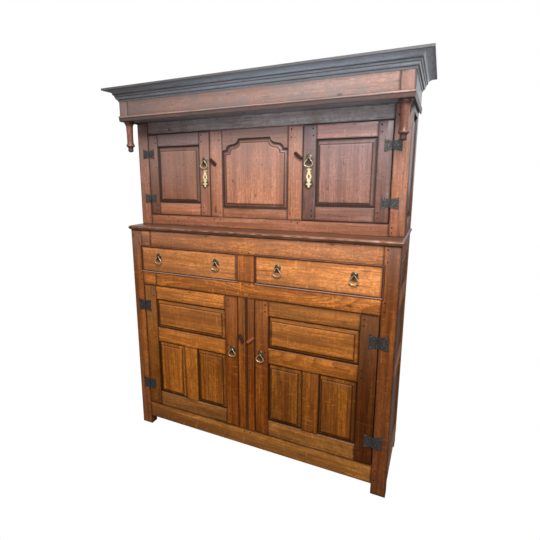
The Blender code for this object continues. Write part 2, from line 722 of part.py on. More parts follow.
def upper_door(word, side, finishes):
    oak, iron, brass = finishes["upper"], finishes["iron"], finishes["brass"]
    closing, hanging = BAY_MUNTIN_OUTER + DOOR_GAP, DOORWAY - DOOR_GAP
    z0, z1 = Z_UPPER_DOOR + DOOR_GAP, Z_UPPER_RAIL - DOOR_GAP
    pivot = add_pivot(f"upper_{word}_door_pivot", hinge_axis(side, UPPER_FRONT))
    left, right = span_between(side, closing + UPPER_DOOR_STILE, hanging - UPPER_DOOR_STILE)
    windows = {"": ((left, z0 + UPPER_DOOR_RAIL), (right, z1 - UPPER_DOOR_RAIL))}
    name = f"upper_{word}_door"
    span = span_between(side, closing, hanging)
    frame = framed_door(name, windows, span, (z0, z1), UPPER_FRONT, pivot, oak)
    place = (side * (closing + UPPER_PULL_INSET), UPPER_FRONT, Z_UPPER_DOOR + UPPER_PULL_RISE)
    add_pull(f"{name}_pull", frame, place, brass)
    escutcheon(f"{name}_escutcheon", place, pivot, finishes["bright_brass"])
    leaf = (UPPER_LEAF_REACH, UPPER_LEAF_NARROW, UPPER_LEAF_WIDE)
    heights = (Z_UPPER_DOOR + UPPER_HINGE_FOOT, Z_UPPER_RAIL - UPPER_HINGE_HEAD)
    for label, height in zip(("bottom", "top"), heights):
        butterfly_hinge(f"{name}_{label}_hinge", side, UPPER_FRONT, height, leaf, pivot, iron)


def hinge_axis(side, face):
    return Vector((side * (DOORWAY - DOOR_GAP / 2), face - HINGE_OUT, 0))


def leaf_outline(reach, narrow, wide, own, direction):
    """Flared plate; it comes up to the pin only along its own knuckles."""
    third, clear = narrow / 6, KNUCKLE_RADIUS + 2 * GAP
    if own == "middle":
        near = [(clear, narrow / 2), (clear, third - GAP), (0, third - GAP),
                (0, GAP - third), (clear, GAP - third), (clear, -narrow / 2)]
    else:
        near = [(0, narrow / 2), (0, third + GAP), (clear, third + GAP),
                (clear, -third - GAP), (0, -third - GAP), (0, -narrow / 2)]
    outline = near + [(reach, -wide / 2), (reach, wide / 2)]
    return [(direction * x, z) for x, z in outline]


def butterfly_hinge(name, side, face, height, leaf, pivot, iron):
    """Carcase leaf with the outer knuckles and the pin, and door leaf with the middle one."""
    reach, narrow, wide = leaf
    third = narrow / 6
    axis = hinge_axis(side, face) + Vector((0, 0, height))
    plate = (face - GAP - LEAF, face - GAP)

    def leaf_plate(own, direction):
        outline = leaf_outline(reach, narrow, wide, own, direction)
        outline = [(x + axis.x, z + axis.z) for x, z in outline]
        return lofted([upright(outline, y) for y in plate])

    pin = [(0, narrow / 2), (KNUCKLE_RADIUS, narrow / 2), (KNUCKLE_RADIUS, third + GAP),
           (PIN_RADIUS, third + GAP), (PIN_RADIUS, -third - GAP), (KNUCKLE_RADIUS, -third - GAP),
           (KNUCKLE_RADIUS, -narrow / 2), (0, -narrow / 2)]
    carcase = add_object(f"{name}_post_leaf", leaf_plate("outer", side), iron)
    combine(carcase, 'UNION', placed(turned(pin, FINE_ROUND), axis))
    bore = (PIN_RADIUS + PIN_CLEARANCE) / math.cos(math.pi / FINE_ROUND)
    knuckle = [(bore, third - GAP), (KNUCKLE_RADIUS, third - GAP),
               (KNUCKLE_RADIUS, GAP - third), (bore, GAP - third)]
    moving = add_object(f"{name}_door_leaf", leaf_plate("middle", -side), iron, pivot)
    combine(moving, 'UNION', placed(turned(knuckle, FINE_ROUND, closed=True), axis))


def drop_points():
    """Half of the onion-shaped drop from the eye down to its lowest point."""
    widest = -DROP_LENGTH * DROP_SHOULDER
    points = [(DROP_NECK, 0)]
    for step in range(1, ARC_STEPS):
        share = step / ARC_STEPS
        flare = share ** 2 * (3 - 2 * share)
        points.append((DROP_NECK + (DROP_HALF_WIDTH - DROP_NECK) * flare, widest * share))
    for step in range(ARC_STEPS + 1):
        angle = math.pi / 2 * step / ARC_STEPS
        depth = (DROP_LENGTH + widest) * math.sin(angle)
        points.append((DROP_HALF_WIDTH * math.cos(angle), widest - depth))
    return points


def drop_wire():
    """Closed wire of the drop, hung from the origin in the XZ plane."""
    half = drop_points()
    loop = half[:-1] + [(0, -DROP_LENGTH)] + [(-x, z) for x, z in reversed(half[:-1])]
    wire = bpy.data.curves.new("drop_wire", 'CURVE')
    wire.dimensions = '3D'
    wire.bevel_depth = DROP_WIRE
    wire.bevel_resolution = 1
    spline = wire.splines.new('POLY')
    spline.points.add(len(loop) - 1)
    for point, (x, z) in zip(spline.points, loop):
        point.co = (x, 0, z, 1)
        fall = (-z / DROP_LENGTH) ** 2
        point.radius = 1 + (DROP_FOOT_WIRE / DROP_WIRE - 1) * fall
    spline.use_cyclic_u = True
    return wire


def add_pull(name, carrier, place, brass):
    """Rose and eye fixed to the wood, and the drop that swings in the eye."""
    x, face, z = place
    rose = [(0, -ROSE_THICKNESS), (ROSE_RADIUS, -ROSE_THICKNESS), (ROSE_RADIUS, ROSE_THICKNESS * 0.3),
            (ROSE_RADIUS * 0.75, ROSE_THICKNESS * 0.75), (ROSE_RADIUS * 0.35, ROSE_THICKNESS),
            (0, ROSE_THICKNESS)]
    combine(carrier, 'UNION', placed(turned(rose), (x, face, z), 'FRONT'))
    stem_end = EYE_OUT - EYE_RADIUS
    combine(carrier, 'UNION', placed(cylinder(2 * EYE_WIRE, 0, stem_end), (x, face, z), 'FRONT'))
    ring = []
    for step in range(FINE_ROUND // 2):
        angle = 2 * math.pi * step / (FINE_ROUND // 2)
        ring.append((EYE_RADIUS + EYE_WIRE * math.cos(angle), EYE_WIRE * math.sin(angle)))
    combine(carrier, 'UNION', placed(turned(ring, FINE_ROUND, closed=True), (x, face - EYE_OUT, z), 'SIDE'))
    rest = DROP_WIRE + GAP - (EYE_RADIUS - EYE_WIRE) * math.cos(math.pi / FINE_ROUND)
    drop = bpy.data.objects.new(f"{name}_drop", drop_wire())
    drop.location = (x, face - EYE_OUT, z + rest)
    drop.parent = carrier
    bpy.context.scene.collection.objects.link(drop)
    drop.data.materials.append(brass)


def escutcheon(name, pull_place, pivot, brass):
    """Pierced key plate with cross bars, a waisted outline and a keyhole."""
    x, face, z = pull_place
    centre = z - PLATE_DROP
    shares = [(0.30, -1.00), (0.38, -0.86), (0.40, -0.74), (1.00, -0.70), (1.00, -0.61), (0.42, -0.56),
              (0.42, -0.42), (0.72, -0.35), (0.72, -0.25), (0.52, -0.17), (0.86, -0.04), (1.00, 0.13),
              (0.86, 0.30), (0.52, 0.43), (0.64, 0.51), (0.62, 0.58), (0.42, 0.64), (0.42, 0.77),
              (0.92, 0.83), (0.90, 0.92), (0.45, 0.96), (0.40, 1.00)]
    right = [(PLATE_HALF_WIDTH * a, PLATE_HALF_HEIGHT * b) for a, b in shares]
    outline = [(x + a, centre + b) for a, b in mirrored(right)]
    plate = add_object(name, lofted([upright(outline, face - GAP), upright(outline, face - GAP - PLATE)]),
                       brass, pivot)
    keyhole = []
    for step in range(ROUND):
        angle = 2 * math.pi * step / ROUND
        keyhole.append((x + KEYHOLE_HALF_WIDTH * math.cos(angle),
                        centre + KEYHOLE_RISE + KEYHOLE_HALF_HEIGHT * math.sin(angle)))
    combine(plate, 'DIFFERENCE', lofted([upright(keyhole, y) for y in (face + PLATE, face - 3 * PLATE)]))


def upper_button_place(side):
    rise = UPPER_LEFT_BUTTON_RISE if side == LEFT else UPPER_RIGHT_BUTTON_RISE
    return (side * (BAY_MUNTIN_OUTER - UPPER_BUTTON_INSET), UPPER_FRONT, Z_UPPER_DOOR + rise)


def lower_button_place(side):
    return (side * LOWER_BUTTON_OFFSET, FRONT, Z_DOOR + LOWER_BUTTON_RISE)


def bore_for_button(frame, place):
    hole = cylinder(BUTTON_PEG + GAP, -BUTTON_PEG, BUTTON_PEG_LENGTH + GAP)
    hole.transform(Matrix.Rotation(math.pi, 4, 'X'))
    combine(frame, 'DIFFERENCE', placed(hole, place, 'FRONT'))


def turn_button(name, place, tilt, oak):
    """Wooden toggle with round ends, on a peg let into the muntin."""
    x, face, z = place
    radius = BUTTON_WIDTH / 2
    straight = BUTTON_LENGTH / 2 - radius
    outline = []
    for end in (1, -1):
        for step in range(ARC_STEPS + 1):
            angle = math.pi * (step / ARC_STEPS - 0.5)
            outline.append((end * (straight + radius * math.cos(angle)), end * radius * math.sin(angle)))
    back, front = face - GAP, face - GAP - BUTTON_THICKNESS
    shorter, slimmer = 1 - 2 * BUTTON_ROUNDING / BUTTON_LENGTH, 1 - BUTTON_ROUNDING / radius
    crown = [(a * shorter, b * slimmer) for a, b in outline]
    edge = front + BUTTON_ROUNDING_DEPTH
    body = lofted([upright(outline, back), upright(outline, edge), upright(crown, front)])
    body.transform(Matrix.Translation((0, face, 0)) @ Matrix.Rotation(-tilt, 4, 'Y')
                   @ Matrix.Translation((0, -face, 0)))
    pivot = add_pivot(f"{name}_pivot", place)
    body.transform(Matrix.Translation((x, 0, z)))
    button = add_object(name, body, oak, pivot)
    peg = cylinder(BUTTON_PEG, -BUTTON_PEG_LENGTH, BUTTON_THICKNESS / 2)
    combine(button, 'UNION', placed(peg, place, 'FRONT'))


def turn_buttons(oak):
    for word, side in SIDES:
        turn_button(f"upper_{word}_turn_button", upper_button_place(side), UPPER_BUTTON_TILT, oak)
    for (word, side), tilt in zip(SIDES, (LEFT_LOWER_BUTTON_TILT, RIGHT_LOWER_BUTTON_TILT)):
        turn_button(f"lower_{word}_turn_button", lower_button_place(side), tilt, oak)


def drawer(word, side, finishes):
    """Drawer with a flush front and a box that runs on the deck."""
    near, far = DRAWER_DIVIDER / 2 + DRAWER_GAP, DOORWAY - DRAWER_GAP
    base = Z_DRAWER + GAP
    rear = BACK_BOARD_FACE - DRAWER_BACK_ROOM
    behind = FRONT + DRAWER_FRONT
    top = Z_TOP_RAIL - DRAWER_HEADROOM
    boards = [board(side * near, side * far, FRONT, behind, Z_DRAWER + DRAWER_GAP, Z_TOP_RAIL - DRAWER_GAP),
              board(side * near, side * far, behind, rear, base, base + DRAWER_BOTTOM),
              board(side * near, side * far, rear - DRAWER_SIDE, rear, base, top)]
    for edge, inwards in ((near, DRAWER_SIDE), (far, -DRAWER_SIDE)):
        boards.append(board(side * edge, side * (edge + inwards), behind, rear, base, top))
    name = f"{word}_drawer"
    box = add_object(name, joined_boards(boards), finishes["drawer"])
    middle = side * (near + far) / 2
    for label, offset in (("left", -DRAWER_PULL_SPREAD / 2), ("right", DRAWER_PULL_SPREAD / 2)):
        place = (middle + offset, FRONT, Z_DRAWER + DRAWER_PULL_RISE)
        add_pull(f"{name}_{label}_pull", box, place, finishes["brass"])


def main():
    clear_scene()
    finishes = {
        "lower": finish_material("lower_oak", (0.24, 0.10, 0.035), 0.42),
        "door": finish_material("door_oak", (0.26, 0.11, 0.035), 0.42),
        "drawer": finish_material("drawer_oak", (0.42, 0.20, 0.07), 0.40),
        "upper": finish_material("upper_oak", (0.22, 0.11, 0.07), 0.45),
        "canopy": finish_material("canopy_oak", (0.17, 0.09, 0.06), 0.48),
        "inner": finish_material("plain_oak", (0.20, 0.13, 0.08), 0.75),
        "iron": finish_material("forged_iron", (0.02, 0.02, 0.02), 0.55, 0.8),
        "brass": finish_material("aged_brass", (0.34, 0.27, 0.14), 0.40, 1.0),
        "bright_brass": finish_material("bright_brass", (0.75, 0.62, 0.33), 0.30, 1.0),
    }
    lower_front_frame(finishes["lower"])
    lower_sides(finishes["lower"])
    back_boards("lower_back_boards", FOOT, Z_WAIST - GAP, finishes["inner"])
    lower_floor(finishes["inner"])
    drawer_deck(finishes["inner"])
    waist_top(finishes["lower"])
    upper_front_frame(finishes["upper"])
    arched_centre_panel(finishes["upper"])
    upper_sides(finishes["upper"])
    back_boards("upper_back_boards", Z_UPPER + GAP, Z_TOP - GAP, finishes["inner"])
    canopy_frieze(finishes["canopy"])
    cornice_moulding(finishes["canopy"])
    pendants(finishes["canopy"])
    for word, side in SIDES:
        lower_door(word, side, finishes)
        upper_door(word, side, finishes)
        drawer(word, side, finishes)
    turn_buttons(finishes["upper"])


main()
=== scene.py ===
"""Looks of an oak press cupboard: boards with their own grain, fielded panels, iron and brass.

Metres, +Z up, front towards -Y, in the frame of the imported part.
"""
import json
import random
from math import atan2, cos, hypot, pi, radians, sin

import bmesh
import bpy
from mathutils import Matrix, Vector, noise

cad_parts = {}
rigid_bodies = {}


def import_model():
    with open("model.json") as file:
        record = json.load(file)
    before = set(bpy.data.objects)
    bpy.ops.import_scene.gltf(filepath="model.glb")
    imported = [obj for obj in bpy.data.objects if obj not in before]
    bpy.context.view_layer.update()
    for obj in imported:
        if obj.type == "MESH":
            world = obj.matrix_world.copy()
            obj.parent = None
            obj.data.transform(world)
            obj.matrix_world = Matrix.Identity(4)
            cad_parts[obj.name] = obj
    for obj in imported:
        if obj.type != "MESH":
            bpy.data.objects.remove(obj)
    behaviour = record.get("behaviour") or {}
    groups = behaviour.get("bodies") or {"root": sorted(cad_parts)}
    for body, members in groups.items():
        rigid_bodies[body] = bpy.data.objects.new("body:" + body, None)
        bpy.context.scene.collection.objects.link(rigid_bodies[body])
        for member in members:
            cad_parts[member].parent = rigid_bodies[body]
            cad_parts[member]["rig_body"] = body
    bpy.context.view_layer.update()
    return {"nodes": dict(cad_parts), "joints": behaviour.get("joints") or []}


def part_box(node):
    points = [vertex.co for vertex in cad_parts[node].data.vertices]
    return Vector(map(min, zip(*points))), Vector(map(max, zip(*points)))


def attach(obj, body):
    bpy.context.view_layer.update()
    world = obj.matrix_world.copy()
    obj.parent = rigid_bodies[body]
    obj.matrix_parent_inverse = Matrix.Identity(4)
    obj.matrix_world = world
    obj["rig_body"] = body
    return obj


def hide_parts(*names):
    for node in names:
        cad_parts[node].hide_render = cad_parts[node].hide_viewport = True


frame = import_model()
random.seed(1740)

LEFT, RIGHT = -1, 1
SIDES = (("left", LEFT), ("right", RIGHT))
JOINTS = {joint["child"]: joint for joint in frame["joints"]}

# Clearances and thicknesses of the joinery
GAP = 0.0003
DOOR_GAP = 0.0015
DOOR_WORN = 0.0015          # what wear has taken from each edge of a door
JOINT = 0.00025             # half the open line between two boards
EDGE = 0.0011               # rounding of a board's worn edges
RUBBED_EDGE = 0.0030        # and of an edge rubbed by hands and dusters
BACK_EDGE = 0.0025          # and of the rough boards at the back
TINY = 1e-6
RAIL_THICKNESS = 0.028
POST_DEPTH = 0.045
SIDE_THICKNESS = 0.028
REAR_POST = 0.060
SIDE_RAIL = 0.070
UPPER_SIDE_HEAD = 0.030
SIDE_PANEL_SETBACK = 0.005
LEDGER = 0.022
BOARD = 0.016
SHELF = 0.018
DOOR_THICKNESS = 0.024
TONGUE = 0.007
TONGUE_THICKNESS = 0.006
PANEL_SUNK = 0.010
FIELD_LEFT = 0.017
FIELD_RIGHT = 0.024
FIELD_TOP = 0.027
FIELD_BOTTOM = 0.020
FIELD_SLOPE = 0.006
FIELD_SHOULDER = 0.002
BEAD_WIDTH = 0.009
BEAD_PROUD = 0.0035
NOSING_FRONT = 0.014
NOSING_SIDE = 0.007
NOSING_STEP = 0.006
NOSING_POINTS = 180         # points along the nosing's chipped edge
FRIEZE_BOARD = 0.022
FRIEZE_BEAD = 0.024
FRIEZE_BEAD_PROUD = 0.005
FRIEZE_BEAD_DROP = 0.005
CORNER_POST = 0.053
BLOCK_SUNK = 0.0015         # corner blocks end short of the boards that lie over them
DRAWER_FRONT = 0.022
DRAWER_SIDE = 0.012
DRAWER_BOTTOM = 0.010
DRAWER_HEADROOM = 0.018
GUIDE_HEIGHT = 0.035
BACK_BOARDS = 6
BACK_TONES = 0.3            # most by which a back board is lighter or darker
TONE_SPREAD = 0.07          # usual difference in tone between two boards
SEED_REACH = 30             # how far apart boards lie in the pattern of the grain
PEG = 0.0036                # radius of a joint's peg
PEG_SPREAD = (0.85, 1.1)    # pegs are whittled: shares of that radius
PEG_PROUD = 0.0004
PEG_SUNK = 0.004
PEG_SIDES = 9
PEG_STRAY = (0.002, 0.003)  # how far a peg may stand off its mark, across and up
PEG_IN = 0.014              # a peg's place in the post, from the rail's shoulder
MIDDLE_PEG_IN = 0.013
DOOR_PEG_IN = 0.016
RAIL_PEGS = 0.020           # a peg's place in the rail, from the rail's edge
UPPER_RAIL_PEGS = 0.016
DOOR_PEGS = 0.022
UPPER_DOOR_PEGS = 0.018
MUNTIN_PEGS = (-0.018, 0.018)
BAY_PEGS = (-0.016, 0.016)
SCARF = (0.395, 0.425)      # the mended stile's joint, as shares of its height
PANEL_SHADOW_LINE = 0.0055         # width of the painted shadow line round a panel, where the frame shades its recess
BOARD_CREASE = 32           # degrees from which an edge stays sharp
FITTING_CREASE = 40
ARC_STEPS = 10
ROUND = 40

# Shape of the arched bay
ARCH_STEP = 0.022
ARCH_LOBE = 0.033
ARCH_RISE = 0.027
ARCH_HOLLOW = 0.035
ARCH_FIELD_MARGIN = 0.023
ARCH_SOFT = 0.0012          # softened edge of the sawn head

# Cornice profile, as shares of its projection and of its height
CORNICE_BAND = (0.07, 0.13)
CORNICE_ROUND = (0.22, 0.35)
CORNICE_HOLLOW = (0.33, 0.51)
CORNICE_COVE = (0.76, 0.83)
CORNICE_FILLET = 0.035
CORNICE_SOFT = 0.02         # softened corners of the lip

# Drop pulls and hinge leaves
EYE_OUT = 0.0105
EYE_RADIUS = 0.0052
EYE_WIRE = 0.0017
ROSE_RADIUS = 0.0160
ROSE_THICKNESS = 0.004
ROSE_SUNK = 0.0005
ROSE_SIDES = 32
ROSE_PETALS = 8
ROSE_WAVE = 0.035           # share by which the petals stand out
STEM = (0.0034, 0.0026)     # radius of the eye's stem at its foot and head
STEM_SIDES = 14
EYE_SIDES = 24
DROP_LENGTH = 0.040
DROP_HALF_WIDTH = 0.0195
DROP_NECK = 0.0055
DROP_WIRE = 0.0026
DROP_FOOT_WIRE = 0.0033
DROP_TOP_WIRE = DROP_WIRE * 0.85
DROP_SHOULDER = 0.64
WIRE_SIDES = 10
LEAF = 0.002
NAIL_SIDES = 12
IRON_WEAR = 0.0004          # rounding of the fittings' edges
BRASS_WEAR = 0.0003
BUTTON_WEAR = 0.0012

# Planes and levels, read from the solids
FRAME_LOW, FRAME_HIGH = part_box("lower_front_frame")
DOOR_LOW, DOOR_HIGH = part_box("lower_right_door_frame")
UPPER_DOOR_LOW, UPPER_DOOR_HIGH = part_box("upper_right_door_frame")
DRAWER_LOW, DRAWER_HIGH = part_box("right_drawer")
BAY_LOW, BAY_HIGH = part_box("arched_centre_panel")
FRIEZE_LOW, FRIEZE_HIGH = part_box("canopy_frieze")
CORNICE_LOW, CORNICE_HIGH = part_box("cornice_moulding")

FRONT = FRAME_LOW.y + BEAD_PROUD
UPPER_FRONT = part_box("upper_front_frame")[0].y
FRIEZE_FRONT = FRIEZE_LOW.y + FRIEZE_BEAD_PROUD
BACK = CORNICE_HIGH.y
REAR = BACK - BOARD - GAP
HALF = FRAME_HIGH.x
FRIEZE_HALF = FRIEZE_HIGH.x - FRIEZE_BEAD_PROUD
DOORWAY = DOOR_HIGH.x + DOOR_GAP
MUNTIN_HALF = DOOR_LOW.x - DOOR_GAP
DIVIDER_HALF = DRAWER_LOW.x - DOOR_GAP
BAY_OUTER = UPPER_DOOR_LOW.x - DOOR_GAP
BAY_HALF = BAY_HIGH.x - TONGUE
Z_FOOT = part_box("lower_back_boards")[0].z
Z_DOOR = DOOR_LOW.z - DOOR_GAP
Z_DRAWER_RAIL = DOOR_HIGH.z + DOOR_GAP
Z_DRAWER = DRAWER_LOW.z - GAP
Z_TOP_RAIL = DRAWER_HIGH.z + DOOR_GAP
Z_WAIST, Z_UPPER = (corner.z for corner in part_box("waist_top"))
Z_LOWER_TOP = Z_WAIST - GAP
Z_UPPER_FOOT = Z_UPPER + GAP
Z_UPPER_DOOR = UPPER_DOOR_LOW.z - DOOR_GAP
Z_UPPER_RAIL = UPPER_DOOR_HIGH.z + DOOR_GAP
Z_BAY_FOOT = BAY_LOW.z + TONGUE
Z_CROWN = BAY_HIGH.z - TONGUE
Z_SOFFIT = FRIEZE_LOW.z + FRIEZE_BEAD_DROP
Z_UPPER_TOP = Z_SOFFIT - GAP
Z_CORNICE = CORNICE_LOW.z
Z_TOP = CORNICE_HIGH.z
CORNICE_REACH = CORNICE_HIGH.x - FRIEZE_HALF
DROP_AXES = {body: Vector(joint["pos_m"]) for body, joint in JOINTS.items() if "_drop_" in joint["name"]}


# Shader helpers

class Nodes:
    """Short calls for the nodes of one tree; most give an output."""

    def __init__(self, tree):
        self.tree = tree

    def feed(self, socket, value):
        if isinstance(value, bpy.types.NodeSocket):
            self.tree.links.new(value, socket)
        else:
            socket.default_value = value

    def fill(self, node, inputs):
        for name, value in inputs.items():
            self.feed(node.inputs[name], value)
        return node.outputs

    def make(self, kind, inputs=(), **settings):
        made = self.tree.nodes.new("ShaderNode" + kind)
        for name, value in settings.items():
            setattr(made, name, value)
        return self.fill(made, dict(inputs))

    def math(self, operation, a, b=0.0, clamp=False):
        return self.make("Math", {0: a, 1: b}, operation=operation, use_clamp=clamp)[0]

    def times(self, a, b):
        return self.math('MULTIPLY', a, b)

    def plus(self, a, b):
        return self.math('ADD', a, b)

    def less(self, a, b):
        return self.math('SUBTRACT', a, b)

    def mean(self, a, b):
        return self.times(self.plus(a, b), 0.5)

    def vector(self, operation, a, b=(0.0, 0.0, 0.0)):
        return self.make("VectorMath", {0: a, 1: b}, operation=operation)["Vector"]

    def noise(self, place, stretch, detail=2.0, roughness=0.5):
        spread = self.vector('MULTIPLY', place, stretch)
        inputs = {"Vector": spread, "Scale": 1.0, "Detail": detail, "Roughness": roughness}
        return self.make("TexNoise", inputs)["Fac"]

    def ramp(self, value, low, high):
        """0 below low, 1 above high, and a smooth step between."""
        inputs = {"Value": value, "From Min": low, "From Max": high}
        return self.make("MapRange", inputs, interpolation_type='SMOOTHSTEP')["Result"]

    def mix(self, share, a, b, blend='MIX'):
        a, b = (c if isinstance(c, bpy.types.NodeSocket) else (*c, 1.0) for c in (a, b))
        return self.make("Mix", {0: share, 6: a, 7: b}, data_type='RGBA', blend_type=blend)[2]

    def split(self, vector):
        return self.make("SeparateXYZ", {"Vector": vector})

    def attribute(self, name, output="Fac"):
        return self.make("Attribute", attribute_name=name)[output]

    def where(self):
        """The place on the object."""
        return self.make("TexCoord")["Object"]

    def bump(self, strength, distance, height):
        return self.make("Bump", {"Strength": strength, "Distance": distance, "Height": height})["Normal"]

    def group(self, tree, **inputs):
        return self.make("Group", inputs, node_tree=tree)


def new_group(name, vectors, floats, outputs):
    """An empty node group with these sockets: (tree, Nodes, input sockets, a call that feeds an output)."""
    tree = bpy.data.node_groups.new(name, "ShaderNodeTree")
    for in_out, kind, labels in (('INPUT', "Vector", vectors), ('INPUT', "Float", floats),
                                 ('OUTPUT', "Float", outputs)):
        for label in labels.split():
            tree.interface.new_socket(label, in_out=in_out, socket_type="NodeSocket" + kind)
    nodes = Nodes(tree)
    given = tree.nodes.new("NodeGroupInput").outputs
    end = tree.nodes.new("NodeGroupOutput").inputs
    return tree, nodes, given, lambda label, value: nodes.feed(end[label], value)


def oak_figure_group():
    """Growth rings, streaks, dashes, knots, pores and ray flecks of oak, along its place's first axis."""
    tree, nodes, given, put = new_group("oak_figure", "Place", "Rings",
                                        "Streak Ring Dash Knot Pore Fleck Mottle")
    place = given["Place"]
    broad = nodes.noise(place, (1.1, 20, 20))
    fine = nodes.noise(place, (3.2, 85, 85), 5.0, 0.7)
    put("Streak", nodes.mean(broad, fine))
    put("Mottle", nodes.noise(place, (70, 130, 130), 3.0, 0.6))
    heart = nodes.noise(place, (1.1, 6.5, 6.5), 1.0, 0.4)
    turn = nodes.math('FRACT', nodes.times(heart, given["Rings"]))
    put("Ring", nodes.ramp(turn, 0.35, 1.0))
    marks = (("Dash", (9, 150, 150), 0.58, 0.70), ("Knot", (11, 20, 20), 0.70, 0.77),
             ("Pore", (24, 480, 480), 0.57, 0.70), ("Fleck", (95, 17, 80), 0.60, 0.72))
    for label, stretch, low, high in marks:
        put(label, nodes.ramp(nodes.noise(place, stretch), low, high))
    return tree


def board_edges_group():
    """Old dirt, and painted shade in the gaps and recesses, at a board's ends and edges, by its place from
    the board's centre.
    """
    tree, nodes, given, put = new_group("board_edges", "Grain Half Place", "", "SootAndShade")
    inside = nodes.vector('SUBTRACT', given["Half"], nodes.vector('ABSOLUTE', given["Grain"]))
    along, across, _ = nodes.split(inside)
    ragged = nodes.times(nodes.noise(given["Place"], (14, 40, 40), 3.0), 0.007)
    ends = nodes.ramp(nodes.less(along, ragged), -0.003, 0.007)
    sides = nodes.ramp(nodes.less(across, ragged), -0.0035, 0.003)
    put("SootAndShade", nodes.less(1.0, nodes.math('MINIMUM', ends, sides)))
    return tree


def handling_group():
    """Cloudy stains of old wax, and small dark dents, over the whole piece."""
    tree, nodes, given, put = new_group("handling", "Place", "", "Stain Speck")
    broad, small = (nodes.noise(given["Place"], (scale,) * 3, 4.0, 0.6) for scale in (3.1, 17))
    put("Stain", nodes.mean(broad, small))
    put("Speck", nodes.ramp(nodes.noise(given["Place"], (95,) * 3), 0.67, 0.74))
    return tree


def height_glare_group():
    """Painted glare: a pale haze that grows with height above the floor, where the light from above is
    strongest.
    """
    tree, nodes, given, put = new_group("bloom", "Place", "Foot Head", "Bloom")
    height = nodes.split(given["Place"])[2]
    cloud = nodes.times(nodes.noise(given["Place"], (2.3,) * 3, 3.0), 0.35)
    level = nodes.plus(height, nodes.less(cloud, 0.17))
    put("Bloom", nodes.ramp(level, given["Foot"], given["Head"]))
    return tree


def grease_and_shadow_group(spots):
    """Dark grease that hands left on the wood, with the painted shadow of the fittings, at these (place,
    reach) spots.
    """
    tree, nodes, given, put = new_group("grease", "Place", "", "GreaseAndShadow")
    cloud = nodes.times(nodes.noise(given["Place"], (60,) * 3, 3.0), 0.024)
    most = 0.0
    for place, reach in spots:
        away = nodes.make("VectorMath", {0: given["Place"], 1: place}, operation='DISTANCE')["Value"]
        near = nodes.ramp(nodes.plus(away, cloud), reach + 0.014, reach)
        most = nodes.math('MAXIMUM', most, near)
    put("GreaseAndShadow", most)
    return tree


def patina_group():
    """Tarnish and hammer marks of old metal."""
    tree, nodes, given, put = new_group("patina", "Place", "", "Tarnish Dent")
    put("Tarnish", nodes.ramp(nodes.noise(given["Place"], (160,) * 3, 4.0, 0.6), 0.4, 0.66))
    put("Dent", nodes.noise(given["Place"], (210,) * 3))
    return tree


def grease_and_shadow_spots():
    """The wood behind each drop, darkened also as the painted shadow of its rose, and below each key plate,
    where grease and its painted shadow darken the wood.
    """
    spots = [(place + Vector((0, EYE_OUT, -DROP_LENGTH * 0.36)), 0.021) for place in DROP_AXES.values()]
    for word, _ in SIDES:
        middle = sum(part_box(f"upper_{word}_door_escutcheon"), Vector()) / 2
        spots.append((middle - Vector((0, 0, 0.03)), 0.026))
    return spots


OAK_FIGURE = oak_figure_group()
BOARD_EDGES = board_edges_group()
HANDLING = handling_group()
HEIGHT_GLARE = height_glare_group()
PATINA = patina_group()
GREASE_AND_SHADOW = grease_and_shadow_group(grease_and_shadow_spots())


# Finishes

# Colour of worn wood and of painted highlights on edges that catch the light
WORN_HIGHLIGHT_COLOUR = (0.52, 0.36, 0.30)
RED_SHIFT = (0.92, 0.68, 0.60)


def finish(name):
    """A new material, as (material, Nodes, Principled shader)."""
    material = bpy.data.materials.new(name)
    material.use_nodes = True
    return material, Nodes(material.node_tree), material.node_tree.nodes["Principled BSDF"]


